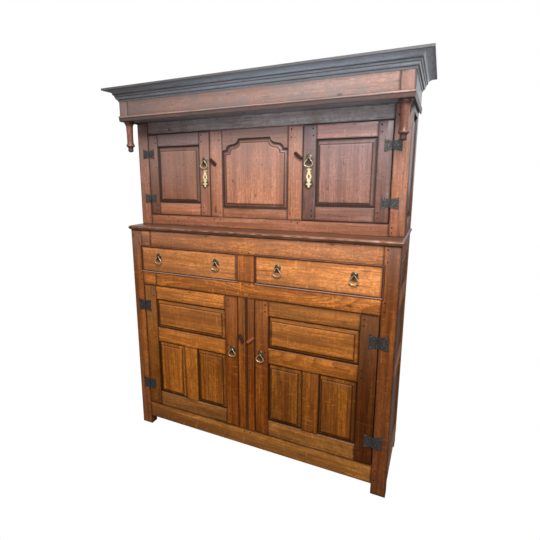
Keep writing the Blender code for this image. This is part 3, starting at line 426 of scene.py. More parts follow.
def oak(name, colour, soot_and_shade, rings=26.0, bloom=0.0, glare_levels=(1.0, 1.9), gloss=0.42, shine=0.3,
        streak=1.0, glare_colour=(0.40, 0.30, 0.28), stain_colour=None, stain_share=0.48):
    """Waxed oak that reads each board's grain, tone, rings, dirt and painted shade from its mesh.

    Below 0 that value is worn wood with a painted highlight.
    """
    material, nodes, shader = finish(name)
    grain = nodes.attribute("grain", "Vector")
    place = nodes.vector('ADD', grain, nodes.attribute("seed", "Vector"))
    where = nodes.where()
    figure = nodes.group(OAK_FIGURE, Place=place, Rings=rings)
    edges = nodes.group(BOARD_EDGES, Grain=grain, Half=nodes.attribute("half", "Vector"), Place=place)
    handling = nodes.group(HANDLING, Place=where)
    grease = nodes.group(GREASE_AND_SHADOW, Place=where)["GreaseAndShadow"]
    light = tuple(min(1.0, c * (1 + 0.62 * streak)) for c in colour)
    dark = tuple(c * (1 - share * streak) for c, share in zip(colour, (0.46, 0.52, 0.56)))
    wood = nodes.mix(nodes.ramp(figure["Streak"], 0.37, 0.63), dark, light)
    layers = ((nodes.ramp(figure["Mottle"], 0.32, 0.68), 0.60, dark),
              (figure["Ring"], nodes.attribute("rings"), dark),
              (figure["Dash"], 0.44, soot_and_shade), (figure["Pore"], 0.25, soot_and_shade), (figure["Fleck"], 0.40, light),
              (nodes.ramp(handling["Stain"], 0.42, 0.64), stain_share, stain_colour or dark))
    for layer, share, tint in layers:
        wood = nodes.mix(nodes.times(layer, share), wood, tint)
    wood = nodes.mix(nodes.attribute("red"), wood, RED_SHIFT, 'MULTIPLY')
    tone = nodes.math('POWER', 2.0, nodes.attribute("tone"))
    wood = nodes.make("VectorMath", {0: wood, "Scale": tone}, operation='SCALE')["Vector"]
    # Painted glare: paler and hazier higher up, as under light falling from above.
    if bloom:
        glare_mask = nodes.group(HEIGHT_GLARE, Place=where, Foot=glare_levels[0], Head=glare_levels[1])
        wood = nodes.mix(nodes.times(glare_mask["Bloom"], bloom), wood, glare_colour)
    # Dirt and painted shade darken the wood towards soot_and_shade; below 0 the value paints a worn
    # highlight.
    dirt_and_painted_light = nodes.attribute("dirt_and_painted_light")
    grime_and_shade = dirt_and_painted_light
    marks = ((edges["SootAndShade"], 0.66), (handling["Speck"], 0.6), (figure["Knot"], 0.6), (grease, 0.85))
    for layer, share in marks:
        grime_and_shade = nodes.math('MAXIMUM', grime_and_shade, nodes.times(layer, share), clamp=True)
    wood = nodes.mix(grime_and_shade, wood, soot_and_shade)
    wood = nodes.mix(nodes.math('MULTIPLY', dirt_and_painted_light, -1.0, clamp=True), wood, WORN_HIGHLIGHT_COLOUR)
    rough = nodes.times(nodes.plus(figure["Streak"], grime_and_shade), 0.22)
    nodes.fill(shader, {"Base Color": wood, "Roughness": nodes.math('ADD', rough, gloss - 0.11, clamp=True),
                        "Specular IOR Level": shine, "Coat Weight": shine, "Coat Roughness": 0.16,
                        "Normal": nodes.bump(0.35, 0.0006, nodes.less(figure["Streak"], figure["Pore"]))})
    return material


def metal(name, colour, tarnish, gloss, metallic, dents):
    """Old metal with tarnish in its low places and soft hammer marks."""
    material, nodes, shader = finish(name)
    patina = nodes.group(PATINA, Place=nodes.where())
    nodes.fill(shader, {"Base Color": nodes.mix(patina["Tarnish"], colour, tarnish),
                        "Roughness": nodes.plus(nodes.times(patina["Tarnish"], 0.28), gloss),
                        "Metallic": metallic, "Normal": nodes.bump(dents, 0.0008, patina["Dent"])})
    return material


def button_wood(name, dark, light):
    """Polished wood of a turn button."""
    material, nodes, shader = finish(name)
    grain = nodes.noise(nodes.where(), (60, 60, 220), 3.0)
    nodes.fill(shader, {"Base Color": nodes.mix(grain, dark, light), "Roughness": 0.22})
    return material


# Dark colours for dirt and for the painted shade of recesses, joints and undersides
SOOT_AND_SHADE = (0.022, 0.009, 0.004)
GREY_SOOT_AND_SHADE = (0.035, 0.022, 0.018)
LOWER_OAK = oak("lower_oak_wax", (0.458, 0.166, 0.036), SOOT_AND_SHADE, bloom=0.42, glare_levels=(0.90, 1.45),
                shine=0.2, streak=1.15)
DOOR_OAK = oak("door_oak_wax", (0.455, 0.158, 0.020), SOOT_AND_SHADE, bloom=0.14, glare_levels=(0.35, 1.0),
               shine=0.09, streak=1.15, glare_colour=(0.62, 0.36, 0.20))
FOOT_OAK = oak("foot_oak_dusty", (0.445, 0.190, 0.042), SOOT_AND_SHADE, shine=0.12)
DRAWER_OAK = oak("drawer_oak_wax", (0.65, 0.262, 0.082), SOOT_AND_SHADE, rings=14.0, shine=0.24, streak=0.9)
BEAD_OAK = oak("bead_oak_dark", (0.23, 0.082, 0.052), SOOT_AND_SHADE, shine=0.25)
UPPER_OAK = oak("upper_oak_wax", (0.44, 0.188, 0.104), GREY_SOOT_AND_SHADE, bloom=0.60, glare_levels=(1.25, 1.80),
                streak=0.8, glare_colour=(0.30, 0.24, 0.24))
DUSKY_OAK = oak("upper_oak_dusky", (0.385, 0.188, 0.140), GREY_SOOT_AND_SHADE, bloom=0.60, glare_levels=(1.25, 1.80),
                streak=0.8, glare_colour=(0.27, 0.245, 0.28), stain_share=0.5)
# Pale grey that paints light into the shade under the canopy, with real stains over it.
CROSS_RAIL_LIT_OAK = oak("cross_rail_oak_painted_light", (0.45, 0.39, 0.38), GREY_SOOT_AND_SHADE, gloss=0.45, streak=0.6,
                stain_colour=(0.20, 0.13, 0.11), stain_share=0.5)
CANOPY_OAK = oak("canopy_oak_wax", (0.40, 0.225, 0.180), GREY_SOOT_AND_SHADE, bloom=0.2, streak=0.7,
                 stain_colour=(0.21, 0.175, 0.165), stain_share=0.85)
# Blue-grey: a painted reflection of window light over greyed oak.
CORNICE_SHEEN_OAK = oak("cornice_oak_painted_sheen", (0.47, 0.54, 0.62), GREY_SOOT_AND_SHADE, gloss=0.38, shine=0.5, streak=0.45)
# Grey-blue: painted glare lighting the underside of the canopy.
SOFFIT_GLARE_OAK = oak("soffit_oak_painted_glare", (0.26, 0.27, 0.295), GREY_SOOT_AND_SHADE, gloss=0.45, shine=0.4, streak=0.5)
PENDANT_OAK = oak("pendant_oak_dark", (0.27, 0.115, 0.080), GREY_SOOT_AND_SHADE, gloss=0.36, shine=0.5)
PLAIN_OAK = oak("plain_oak_dry", (0.30, 0.190, 0.115), GREY_SOOT_AND_SHADE, gloss=0.72, shine=0.15)
PEG_OAK = oak("peg_oak_dark", (0.030, 0.012, 0.006), SOOT_AND_SHADE, gloss=0.55, shine=0.2)
IRON = metal("forged_iron_black", (0.034, 0.033, 0.033), (0.105, 0.104, 0.105), 0.40, 0.5, 1.0)
GREY_IRON = metal("forged_iron_grey", (0.045, 0.046, 0.045), (0.125, 0.127, 0.122), 0.42, 0.4, 1.0)
NAIL_IRON = metal("nail_iron_rubbed", (0.22, 0.21, 0.20), (0.05, 0.045, 0.04), 0.30, 0.8, 0.5)
BRASS = metal("aged_brass_dull", (0.70, 0.62, 0.42), (0.32, 0.26, 0.14), 0.36, 0.7, 0.3)
ROSE_BRASS = metal("aged_brass_dark", (0.24, 0.21, 0.16), (0.05, 0.042, 0.032), 0.34, 0.9, 0.4)
BRIGHT_BRASS = metal("bright_brass_rubbed", (0.98, 0.90, 0.55), (0.88, 0.76, 0.40), 0.30, 0.35, 0.2)
BUTTON_WOOD = button_wood("button_wood_dark", (0.014, 0.008, 0.007), (0.075, 0.034, 0.027))
# A redder, brighter copy of the button wood, painted as if the light falls on the lower right button.
LIT_BUTTON_WOOD = button_wood("button_wood_painted_lit", (0.10, 0.028, 0.012), (0.55, 0.19, 0.085))


# Mesh helpers

def bridge(bm, loops, smooth):
    """Faces between each loop of points and the next."""
    for near, far in zip(loops, loops[1:]):
        for i in range(len(near)):
            j = (i + 1) % len(near)
            bm.faces.new((near[i], near[j], far[j], far[i])).smooth = smooth


def lofted(rings, smooth=False, dirt_and_painted_light=None):
    """A capped solid through rings of equally many points; dirt_and_painted_light, the dirt and painted shade
    of its points, is a value or a list for each ring.
    """
    bm = bmesh.new()
    shade = bm.verts.layers.float.new("shade")
    loops = []
    for ring, given in zip(rings, dirt_and_painted_light or [0.0] * len(rings)):
        loops.append([bm.verts.new(point) for point in ring])
        for place, vert in enumerate(loops[-1]):
            vert[shade] = given[place] if isinstance(given, list) else given
    bridge(bm, loops, smooth)
    bm.faces.new(loops[0])
    bm.faces.new(loops[-1])
    return bm


def round_edges(bm, edges, width):
    bmesh.ops.bevel(bm, geom=edges, offset=width, segments=2, profile=0.5, affect='EDGES')


def upright(outline, y):
    """Places an (x, z) outline in the plane at y."""
    return [(x, y, z) for x, z in outline]


def turned(profile, sides=ROUND, closed=False):
    """Spins a (radius, z) profile about the Z axis."""
    bm = bmesh.new()
    points = [bm.verts.new((radius, 0, z)) for radius, z in profile]
    edges = [bm.edges.new(pair) for pair in zip(points, points[1:])]
    if closed:
        edges.append(bm.edges.new((points[-1], points[0])))
    bmesh.ops.spin(bm, geom=points + edges, axis=(0, 0, 1), cent=(0, 0, 0),
                   steps=sides, angle=2 * pi, use_merge=True)
    bmesh.ops.remove_doubles(bm, verts=bm.verts, dist=TINY)
    for face in bm.faces:
        face.smooth = True
    return bm


def placed(bm, place, axis=None):
    """Moves a turned mesh to its place; a quarter turn about X makes it face the front."""
    if axis:
        bm.transform(Matrix.Rotation(radians(90), 4, axis))
    bm.transform(Matrix.Translation(place))
    return bm


def quarter(start, end, hollow):
    """Points of a quarter ellipse from start to end, without its start point."""
    (a0, b0), (a1, b1) = start, end
    points = []
    for step in range(1, ARC_STEPS + 1):
        angle = pi / 2 * step / ARC_STEPS
        rise, run = sin(angle), 1 - cos(angle)
        if not hollow:
            rise, run = run, rise
        points.append((a0 + (a1 - a0) * rise, b0 + (b1 - b0) * run))
    return points


def circle(sides):
    """Cosine and sine of equal steps round a circle."""
    angles = [2 * pi * step / sides for step in range(sides)]
    return [(cos(angle), sin(angle)) for angle in angles]


def rectangle(low, high, grow=0.0):
    (x0, z0), (x1, z1) = low, high
    return [(x0 - grow, z0 - grow), (x1 + grow, z0 - grow), (x1 + grow, z1 + grow), (x0 - grow, z1 + grow)]


def linked(name, data):
    obj = bpy.data.objects.new(name, data)
    bpy.context.scene.collection.objects.link(obj)
    return obj


def make_piece(name, bm, crease, body, nodes, materials):
    """Makes the object, rides it on its body and lets it stand for its solids."""
    mesh = bpy.data.meshes.new(name)
    bm.to_mesh(mesh)
    bm.free()
    for material in materials:
        mesh.materials.append(material)
    mesh.set_sharp_from_angle(angle=radians(crease))
    obj = linked(name, mesh)
    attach(obj, body)
    if nodes:
        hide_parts(*nodes)


class Boards:
    """Collects the boards of one joined piece into a mesh that knows each board's grain."""

    def __init__(self):
        self.bm = bmesh.new()
        layers = self.bm.verts.layers
        self.vectors = [layers.float_vector.new(name) for name in ("grain", "half", "seed")]
        self.values = [layers.float.new(name) for name in ("tone", "rings", "red", "dirt_and_painted_light")]

    def absorb(self, part, along, face='Y', tone=0.0, material=0, rings=0.25, red=0.0):
        """Takes over a small mesh as one board, by the axes along its grain and out of its face."""
        bmesh.ops.recalc_face_normals(part, faces=part.faces)
        corners = [v.co for v in part.verts]
        low = Vector([min(c[i] for c in corners) for i in range(3)])
        high = Vector([max(c[i] for c in corners) for i in range(3)])
        centre, half = (low + high) / 2, (high - low) / 2
        length, depth = "XYZ".index(along), "XYZ".index(face)
        order = (length, 3 - length - depth, depth)
        seed = Vector([random.uniform(-SEED_REACH, SEED_REACH) for _ in range(3)])
        tone += random.gauss(0, TONE_SPREAD)
        shade = part.verts.layers.float.get("shade")
        copies = {}
        for vert in part.verts:
            copy = self.bm.verts.new(vert.co)
            for layer, value in zip(self.vectors, (vert.co - centre, half, seed)):
                copy[layer] = Vector([value[i] for i in order])
            for layer, value in zip(self.values, (tone, rings, red, vert[shade] if shade else 0.0)):
                copy[layer] = value
            copies[vert] = copy
        for polygon in part.faces:
            made = self.bm.faces.new([copies[v] for v in polygon.verts])
            made.smooth = polygon.smooth
            made.material_index = material
        part.free()

    def plank(self, low, high, along, face='Y', tone=0.0, edge=EDGE, rings=0.25, red=0.0, worn_highlight=0.0,
              left_end_shade=0.0, material=0):
        """A square board; worn_highlight is the wear and painted highlight of its upper front edge,
        left_end_shade the painted shade that grows towards its left end.
        """
        inset = Vector((JOINT, JOINT, JOINT))
        low, high = Vector(map(min, low, high)) + inset, Vector(map(max, low, high)) - inset
        part = bmesh.new()
        bmesh.ops.create_cube(part, size=1.0)
        bmesh.ops.scale(part, vec=high - low, verts=part.verts)
        bmesh.ops.translate(part, vec=(low + high) / 2, verts=part.verts)
        if worn_highlight:
            round_edges(part, [e for e in part.edges if all(v.co.z > high.z - TINY and v.co.y < low.y + TINY
                                                            for v in e.verts)], RUBBED_EDGE)
        round_edges(part, [e for e in part.edges if e.calc_face_angle(0.0) > 1.0], edge)
        if worn_highlight or left_end_shade:
            shade = part.verts.layers.float.new("shade")
            for vert in part.verts:
                if vert.co.x < (low.x + high.x) / 2:
                    vert[shade] = left_end_shade
                if all(TINY < away < RUBBED_EDGE * 0.9 for away in (high.z - vert.co.z, vert.co.y - low.y)):
                    vert[shade] = -worn_highlight
        self.absorb(part, along, face, tone, material, rings, red)

    def pegs(self, places, face):
        """Dark ends of oak pegs at (x, z) places, a little proud of the wood and never quite round."""
        for x, z in places:
            spread = random.uniform(*PEG_SPREAD) * PEG
            profile = [(0, -PEG_SUNK), (spread, -PEG_SUNK), (spread, PEG_PROUD * 0.4),
                       (spread * 0.7, PEG_PROUD), (0, PEG_PROUD)]
            stray_x, stray_z = (random.uniform(-most, most) for most in PEG_STRAY)
            place = (x + stray_x, face, z + stray_z)
            self.absorb(placed(turned(profile, PEG_SIDES), place, 'X'), 'X', material=1)

    def tenon_pegs(self, ends, low, high, inset, face):
        """Two pegs through the tenon at each end of a rail."""
        for x in ends:
            self.pegs([(x, low + inset), (x, high - inset)], face)

    def build(self, name, body, slot, nodes, *materials):
        make_piece(name, self.bm, BOARD_CREASE, body, nodes, materials)


def one_board(part, along, face='Y', tone=0.0, red=0.0):
    """A piece of a single board."""
    boards = Boards()
    boards.absorb(part, along, face, tone, red=red)
    return boards


def fielded(tongue, rings, face):
    """A panel from its tongue inwards; a ring is (outline, depth, dirt and painted shade, more painted shade
    on sides turned from the light).
    """
    edge = face + PANEL_SUNK
    loops = [upright(tongue, edge + TONGUE_THICKNESS), upright(tongue, edge)]
    dirt_and_painted_light = [0.3, 0.9]
    for outline, depth, shade, side_shade in rings:
        loops.append(upright(outline, face + depth))
        dirt_and_painted_light.append([shade + side_shade * away for away in shade_by_side(outline)])
    return lofted(loops, dirt_and_painted_light=dirt_and_painted_light)


def runs_at(points):
    """The direction of a closed outline at each of its points."""
    for number in range(len(points)):
        before, after = Vector(points[number - 1]), Vector(points[(number + 1) % len(points)])
        yield (after - before).normalized()


def shade_by_side(outline):
    """How much painted shade each point of an outline gets for the side it lies on: -1 at the head, 1 at the
    foot, more on the left than on the right.
    """
    return [run.x + 0.48 * abs(run.y) - 0.12 * run.y for run in runs_at(outline)]


def panel_rings(inset, bevel_shade=0.0, line=PANEL_SHADOW_LINE):
    """Rings of a fielded panel; inset(s, d) draws its sight line in by the share s of the bevel plus d."""
    # Each ring's numbers paint shade: a shadow line at the frame's edge, darker bevels, and a highlight along
    # the head of the field's shoulder.
    foot = PANEL_SUNK - FIELD_SLOPE
    return [(inset(0.0, 0.0), PANEL_SUNK, 0.98, 0.0),
            (inset(0.0, line), PANEL_SUNK - FIELD_SLOPE * 0.08, 0.80, 0.08),
            (inset(0.15, line), PANEL_SUNK - FIELD_SLOPE * 0.32, 0.26 + bevel_shade, 0.12),
            (inset(1.0, -0.0065), foot + FIELD_SLOPE * 0.16, 0.24 + bevel_shade, 0.10),
            (inset(1.0, -0.0032), foot + FIELD_SLOPE * 0.05, 0.88, 0.08),
            (inset(1.0, -0.0012), foot, 0.84, 0.10),
            (inset(1.0, 0.0), foot - FIELD_SHOULDER * 0.7, 0.32, 0.42),
            (inset(1.0, 0.0018), foot - FIELD_SHOULDER, 0.06, 0.18),
            (inset(1.0, 0.0080), foot - FIELD_SHOULDER, 0.0, 0.0)]


def cornered(outline, step=0.0012):
    """The same outline with a point close to each side of every corner, so each side keeps its own shade."""
    points = []
    for number, corner in enumerate(outline):
        start, end = Vector(corner), Vector(outline[(number + 1) % len(outline)])
        run = (end - start).normalized() * step
        points += [tuple(start), tuple(start + run), tuple(end - run)]
    return points


def sight_of(node):
    """Corners (x, z) of a panel's sight line, inside its tongue."""
    low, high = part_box(node)
    return (low.x + TONGUE, low.z + TONGUE), (high.x - TONGUE, high.z - TONGUE)


def square_panel(low, high, face, bevel_shade=0.0, line=PANEL_SHADOW_LINE):
    """Fielded panel for a square opening between two (x, z) corners."""
    (x0, z0), (x1, z1) = low, high

    def inset(share, more):
        return cornered(rectangle((x0 + FIELD_LEFT * share + more, z0 + FIELD_BOTTOM * share + more),
                                  (x1 - FIELD_RIGHT * share - more, z1 - FIELD_TOP * share - more)))

    return fielded(cornered(rectangle(low, high, TONGUE)), panel_rings(inset, bevel_shade, line), face)


# Lower stage

def lower_front():
    """Posts, rails and muntins of the lower front, pegged, with a bead round each drawer."""
    boards = Boards()
    back = FRONT + RAIL_THICKNESS
    for side, tone, red in ((LEFT, -0.3, 0.2), (RIGHT, -0.72, 0.45)):
        boards.plank((side * DOORWAY, FRONT, 0), (side * HALF, FRONT + POST_DEPTH, Z_LOWER_TOP), 'Z',
                     tone=tone, red=red)
    rails = ((Z_FOOT, Z_DOOR, -0.15, 0.3, 0.0, 4), (Z_DRAWER_RAIL, Z_DRAWER, 0.4, 0.75, 0.088, 0),
             (Z_TOP_RAIL, Z_LOWER_TOP, 0.2, 0.4, 0.062, 0))
    for low, high, tone, rings, seam, material in rails:
        start = -DOORWAY + seam
        boards.plank((start, FRONT, low), (DOORWAY, back, high), 'X', tone=tone, rings=rings,
                     material=material)
        if seam:
            boards.plank((-DOORWAY, FRONT, low), (start, back, high), 'X', tone=tone - 0.05)
        boards.tenon_pegs((-DOORWAY - PEG_IN, DOORWAY + PEG_IN), low, high, RAIL_PEGS, FRONT)
    boards.plank((-DIVIDER_HALF, FRONT, Z_DRAWER), (DIVIDER_HALF, back, Z_TOP_RAIL), 'Z', tone=0.3,
                 red=0.6, material=3)
    boards.absorb(muntin_mesh(back), 'Z', tone=-0.25, red=0.55, material=3)
    for height in (Z_TOP_RAIL + PEG_IN, Z_DRAWER - MIDDLE_PEG_IN, Z_DRAWER_RAIL + MIDDLE_PEG_IN,
                   Z_DOOR - PEG_IN):
        boards.pegs([(x, height) for x in MUNTIN_PEGS], FRONT)
    for side in (LEFT, RIGHT):
        drawer_bead(boards, side)
    for shelf_top in (Z_DOOR, Z_DRAWER):
        top = shelf_top - SHELF - GAP
        boards.plank((-DOORWAY, back, top - LEDGER), (DOORWAY, back + LEDGER, top), 'X')
    boards.build("lower_front_boards", "carcase", "lower_oak", ["lower_front_frame"], LOWER_OAK, PEG_OAK,
                 BEAD_OAK, DOOR_OAK, FOOT_OAK)


# Right half of the door muntin's face, as (x, depth): a scratched channel between two quirks
MUNTIN_FACE = ((0.0175, 0.0), (0.0165, 0.0022), (0.0150, 0.0004), (0.0100, 0.0002), (0.0075, 0.0024),
               (0.0050, 0.0032))
MUNTIN_DARK_DEPTH = 0.0015


def muntin_mesh(back):
    """Muntin between the doors."""
    half = MUNTIN_HALF - JOINT
    right = [(half, back), (half, FRONT + EDGE), (half - EDGE, FRONT)]
    right += [(x, FRONT + depth) for x, depth in MUNTIN_FACE]
    outline = right + [(-x, y) for x, y in reversed(right)]
    part = lofted([[(x, y, z) for x, y in outline] for z in (Z_DOOR + JOINT, Z_DRAWER_RAIL - JOINT)])
    shade = part.verts.layers.float["shade"]
    for vert in part.verts:
        if vert.co.y > FRONT + MUNTIN_DARK_DEPTH:
            vert[shade] = 0.75
    return part


# The drawer bead's section, as shares of its width and thickness,
# and its dirt and painted shade on its foot, right, head and left lengths; below 0 a painted highlight,
# mostly where the foot faces up
BEAD_SECTION = ((0, 0), (0, 0.55), (0.15, 0.9), (0.4, 1.0), (0.7, 0.8), (0.92, 0.35), (1, 0))
BEAD_SHADES = ([0.8, 0.0, -0.75, -0.75, -0.15, 0.6, 0.95], [0.95, 0.7, 0.35, 0.1, 0.3, 0.7, 0.95],
               [0.95, 0.8, 0.4, -0.1, 0.0, 0.6, 0.95], [0.95, 0.7, 0.35, 0.0, 0.3, 0.7, 0.95])


def drawer_bead(boards, side):
    """Half-round bead nailed round one drawer opening, mitred at its corners."""
    x0, x1 = sorted((side * DIVIDER_HALF, side * DOORWAY))
    corners = [(x0, Z_DRAWER, -1, -1), (x1, Z_DRAWER, 1, -1), (x1, Z_TOP_RAIL, 1, 1), (x0, Z_TOP_RAIL, -1, 1)]
    for number, shades in enumerate(BEAD_SHADES):
        rings = []
        for x, z, out_x, out_z in (corners[number], corners[(number + 1) % 4]):
            rings.append([(x + out_x * BEAD_WIDTH * a, FRONT - BEAD_PROUD * b, z + out_z * BEAD_WIDTH * a)
                          for a, b in BEAD_SECTION])
        boards.absorb(lofted(rings, dirt_and_painted_light=[shades] * 2), "XZ"[number % 2], material=2)


# Heights of the side rails: they line up with the rails of the front and of the doors
LOWER_SIDE_RAILS = ((Z_FOOT, Z_DOOR), (sight_of("lower_right_door_outer_panel")[1][1],
                                       sight_of("lower_right_door_top_panel")[0][1]),
                    (Z_DRAWER_RAIL, Z_DRAWER), (Z_LOWER_TOP - SIDE_RAIL, Z_LOWER_TOP))
UPPER_SIDE_RAILS = ((Z_UPPER_FOOT, Z_UPPER + SIDE_RAIL), (Z_UPPER_TOP - UPPER_SIDE_HEAD, Z_UPPER_TOP))


def stage_sides(stage, face, base, rails, wood):
    """Rear post, rails and fielded panels of a stage's two sides."""
    front = face + POST_DEPTH + GAP
    opening, opening_end = front + LEDGER, REAR - REAR_POST
    foot, top = rails[0][0], rails[-1][1]
    for word, side in SIDES:
        boards = Boards()
        outer, inner = side * HALF, side * (HALF - SIDE_THICKNESS)
        boards.plank((outer, opening_end, base), (side * (HALF - POST_DEPTH), REAR, top), 'Z', 'X', -0.2)
        boards.plank((outer, front, foot), (inner, opening, top), 'Z', 'X', -0.3)
        for low, high in rails:
            boards.plank((outer, opening, low), (inner, opening_end, high), 'Y', 'X')
        for (_, z0), (z1, _) in zip(rails, rails[1:]):
            panel = square_panel((opening, z0), (opening_end, z1), SIDE_PANEL_SETBACK)
            panel.transform(Matrix.Rotation(radians(90), 4, 'Z'))
            if side == LEFT:
                panel.transform(Matrix.Scale(-1, 4, (1, 0, 0)))
            panel.transform(Matrix.Translation((outer, 0, 0)))
            # Side panels are painted much darker, for the shade of their deep recess.
            boards.absorb(panel, 'Z', 'X', -1.3)
        node = f"{stage}_{word}_side"
        boards.build(f"{node}_boards", "carcase", f"{stage}_oak", [node], wood)


def back_boards():
    """Upright boards nailed over both backs, each with its own grain."""
    for node in ("lower_back_boards", "upper_back_boards"):
        low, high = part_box(node)
        pitch = (high.x - low.x) / BACK_BOARDS
        boards = Boards()
        for number in range(BACK_BOARDS):
            x = low.x + number * pitch
            boards.plank((x, low.y, low.z), (x + pitch, high.y, high.z), 'Z',
                         tone=random.uniform(-BACK_TONES, BACK_TONES), edge=BACK_EDGE)
        boards.build(f"{node}_planks", "carcase", "plain_oak", [node], PLAIN_OAK)


def decks():
    """Cupboard floor and drawer deck, each of four boards, with the drawer guides."""
    front, post_end = FRONT + RAIL_THICKNESS + GAP, FRONT + POST_DEPTH + GAP
    rear_post = REAR - REAR_POST - GAP
    inner, wide, between_rear_posts = (x - GAP for x in (DOORWAY, HALF - SIDE_THICKNESS, HALF - POST_DEPTH))
    middle = (post_end + rear_post) / 2
    for node, top in (("lower_floor_boards", Z_DOOR), ("drawer_deck", Z_DRAWER)):
        boards = Boards()
        for y0, y1, half in ((front, post_end, inner), (post_end, middle, wide), (middle, rear_post, wide),
                             (rear_post, REAR, between_rear_posts)):
            boards.plank((-half, y0, top - SHELF), (half, y1, top), 'X', 'Z')
        if node == "drawer_deck":
            for x0, x1, y0 in ((-DIVIDER_HALF, DIVIDER_HALF, front), (-DOORWAY, -wide, post_end),
                               (DOORWAY, wide, post_end)):
                boards.plank((x0, y0, top), (x1, rear_post, top + GUIDE_HEIGHT), 'Y', 'Z')
        boards.build(f"{node}_planks", "carcase", "plain_oak", [node], PLAIN_OAK)


# The waist's nosing, as (share of its height, steps out, dirt and painted shade: darker under the nose and in
# the crease above)
NOSING = ((0.0, -1.0, 0.8), (0.1, -0.72, 0.3), (0.28, -0.3, 0.0), (0.5, 0.0, 0.0), (0.72, -0.25, 0.0),
          (0.88, -0.6, 0.2), (1.0, -1.15, 0.5))
NICK_PITCH = 26             # how close the chips in its edge stand
NICK_LEVEL = 0.15           # a higher level leaves fewer chips
NICK_DEPTH = 0.0045
GLINT_PITCH = 31
GLINT_BAND = (0.6, 0.8)       # the worn and painted highlight along its nose, as shares of its height
GLINT_MOST = 0.6


def waist_board():
    """Top of the lower stage, its rounded nosing chipped and worn, with a painted highlight that grows to the
    right and painted shade beneath.
    """
    rings = []
    for share, out, _ in NOSING:
        z = Z_WAIST + (Z_UPPER - Z_WAIST) * share
        end = HALF + NOSING_SIDE + NOSING_STEP * out
        front = FRONT - NOSING_FRONT - NOSING_STEP * out
        ring = []
        for step in range(NOSING_POINTS + 1):
            x = end * (2 * step / NOSING_POINTS - 1)
            nick = max(0.0, noise.noise(Vector((x * NICK_PITCH, share * 2, 0.3))) - NICK_LEVEL) * NICK_DEPTH
            ring.append((x, front + nick, z))
        rings.append(ring + [(end, BACK, z), (-end, BACK, z)])
    part = lofted(rings, dirt_and_painted_light=[dirt_and_painted_light for _, _, dirt_and_painted_light in NOSING])
    shade = part.verts.layers.float["shade"]
    for vert in part.verts:
        share = (vert.co.z - Z_WAIST) / (Z_UPPER - Z_WAIST)
        worn_glint = noise.noise(Vector((vert.co.x * GLINT_PITCH, 4.2, 0.9))) + 0.25 + 0.35 * vert.co.x
        if GLINT_BAND[0] < share < GLINT_BAND[1] and vert.co.y < FRONT:
            vert[shade] = -min(GLINT_MOST, max(0.0, worn_glint))
    waist = one_board(part, 'X', 'Z', -0.3, 0.4)
    waist.build("waist_board", "carcase", "lower_oak", ["waist_top"], LOWER_OAK)


# Upper stage

def arch_outline(grow=0.0, lobe_shrink=0.0):
    """Outline of the arched bay: square foot, stepped shoulders and ogee head."""
    half, foot, crown = BAY_HALF + grow, Z_BAY_FOOT - grow, Z_CROWN + grow
    spring, middle = crown - 2 * ARCH_RISE, crown - ARCH_RISE
    top_half = BAY_HALF - ARCH_STEP - ARCH_LOBE - ARCH_HOLLOW + grow / 2
    shoulder = top_half + ARCH_HOLLOW
    lobe = shoulder + ARCH_LOBE - lobe_shrink
    points = [(half, foot), (half, spring), (lobe, spring)]
    points += quarter((lobe, spring), (shoulder, middle), hollow=False)
    points += quarter((shoulder, middle), (top_half, crown), hollow=True)
    return points + [(-x, z) for x, z in reversed(points)]


def upper_front():
    """Stiles, rails and muntins of the set-back front, with the shaped head of the bay."""
    boards = Boards()
    face, back = UPPER_FRONT, UPPER_FRONT + RAIL_THICKNESS
    boards.plank((DOORWAY, face, Z_UPPER_FOOT), (HALF, face + POST_DEPTH, Z_UPPER_TOP), 'Z', tone=0.1)
    for part in scarfed_stile(Z_UPPER_FOOT, Z_UPPER_TOP):
        boards.absorb(part, 'Z', tone=-0.1)
    # The head rail under the canopy takes the pale grey finish that paints light into its shade.
    for low, high, material in ((Z_UPPER_FOOT, Z_UPPER_DOOR, 0), (Z_UPPER_RAIL, Z_UPPER_TOP, 2)):
        boards.plank((-DOORWAY, face, low), (DOORWAY, back, high), 'X', material=material)
        boards.tenon_pegs((-DOORWAY - PEG_IN, DOORWAY + PEG_IN), low, high, UPPER_RAIL_PEGS, face)
    for side, tone in ((LEFT, 0.2), (RIGHT, 0.45)):
        boards.plank((side * BAY_HALF, face, Z_UPPER_DOOR), (side * BAY_OUTER, back, Z_UPPER_RAIL), 'Z',
                     tone=tone)
        middle, shoulder = side * (BAY_HALF + BAY_OUTER) / 2, side * (BAY_HALF + PEG_IN)
        boards.pegs([(middle + x, Z_UPPER_DOOR - 0.012) for x in BAY_PEGS], face)
        boards.pegs([(shoulder, z) for z in (Z_CROWN - 0.005, Z_CROWN + 0.030, Z_BAY_FOOT - 0.022)], face)
    boards.plank((-BAY_HALF, face, Z_UPPER_DOOR), (BAY_HALF, back, Z_BAY_FOOT), 'X', tone=-0.3)
    boards.absorb(arch_head_mesh(back), 'X', tone=-0.25)
    boards.build("upper_front_boards", "carcase", "upper_oak", ["upper_front_frame"], UPPER_OAK, PEG_OAK,
                 CROSS_RAIL_LIT_OAK)


def scarfed_stile(foot, top):
    """Left stile in two lengths, mended long ago with a slanting joint."""
    outer, inner = -HALF + JOINT, -DOORWAY - JOINT
    low, high = (foot + (top - foot) * share for share in SCARF)
    lengths = ([(outer, foot), (inner, foot), (inner, high - JOINT), (outer, low - JOINT)],
               [(outer, low + JOINT), (inner, high + JOINT), (inner, top), (outer, top)])
    for outline in lengths:
        yield lofted([upright(outline, UPPER_FRONT), upright(outline, UPPER_FRONT + POST_DEPTH)])


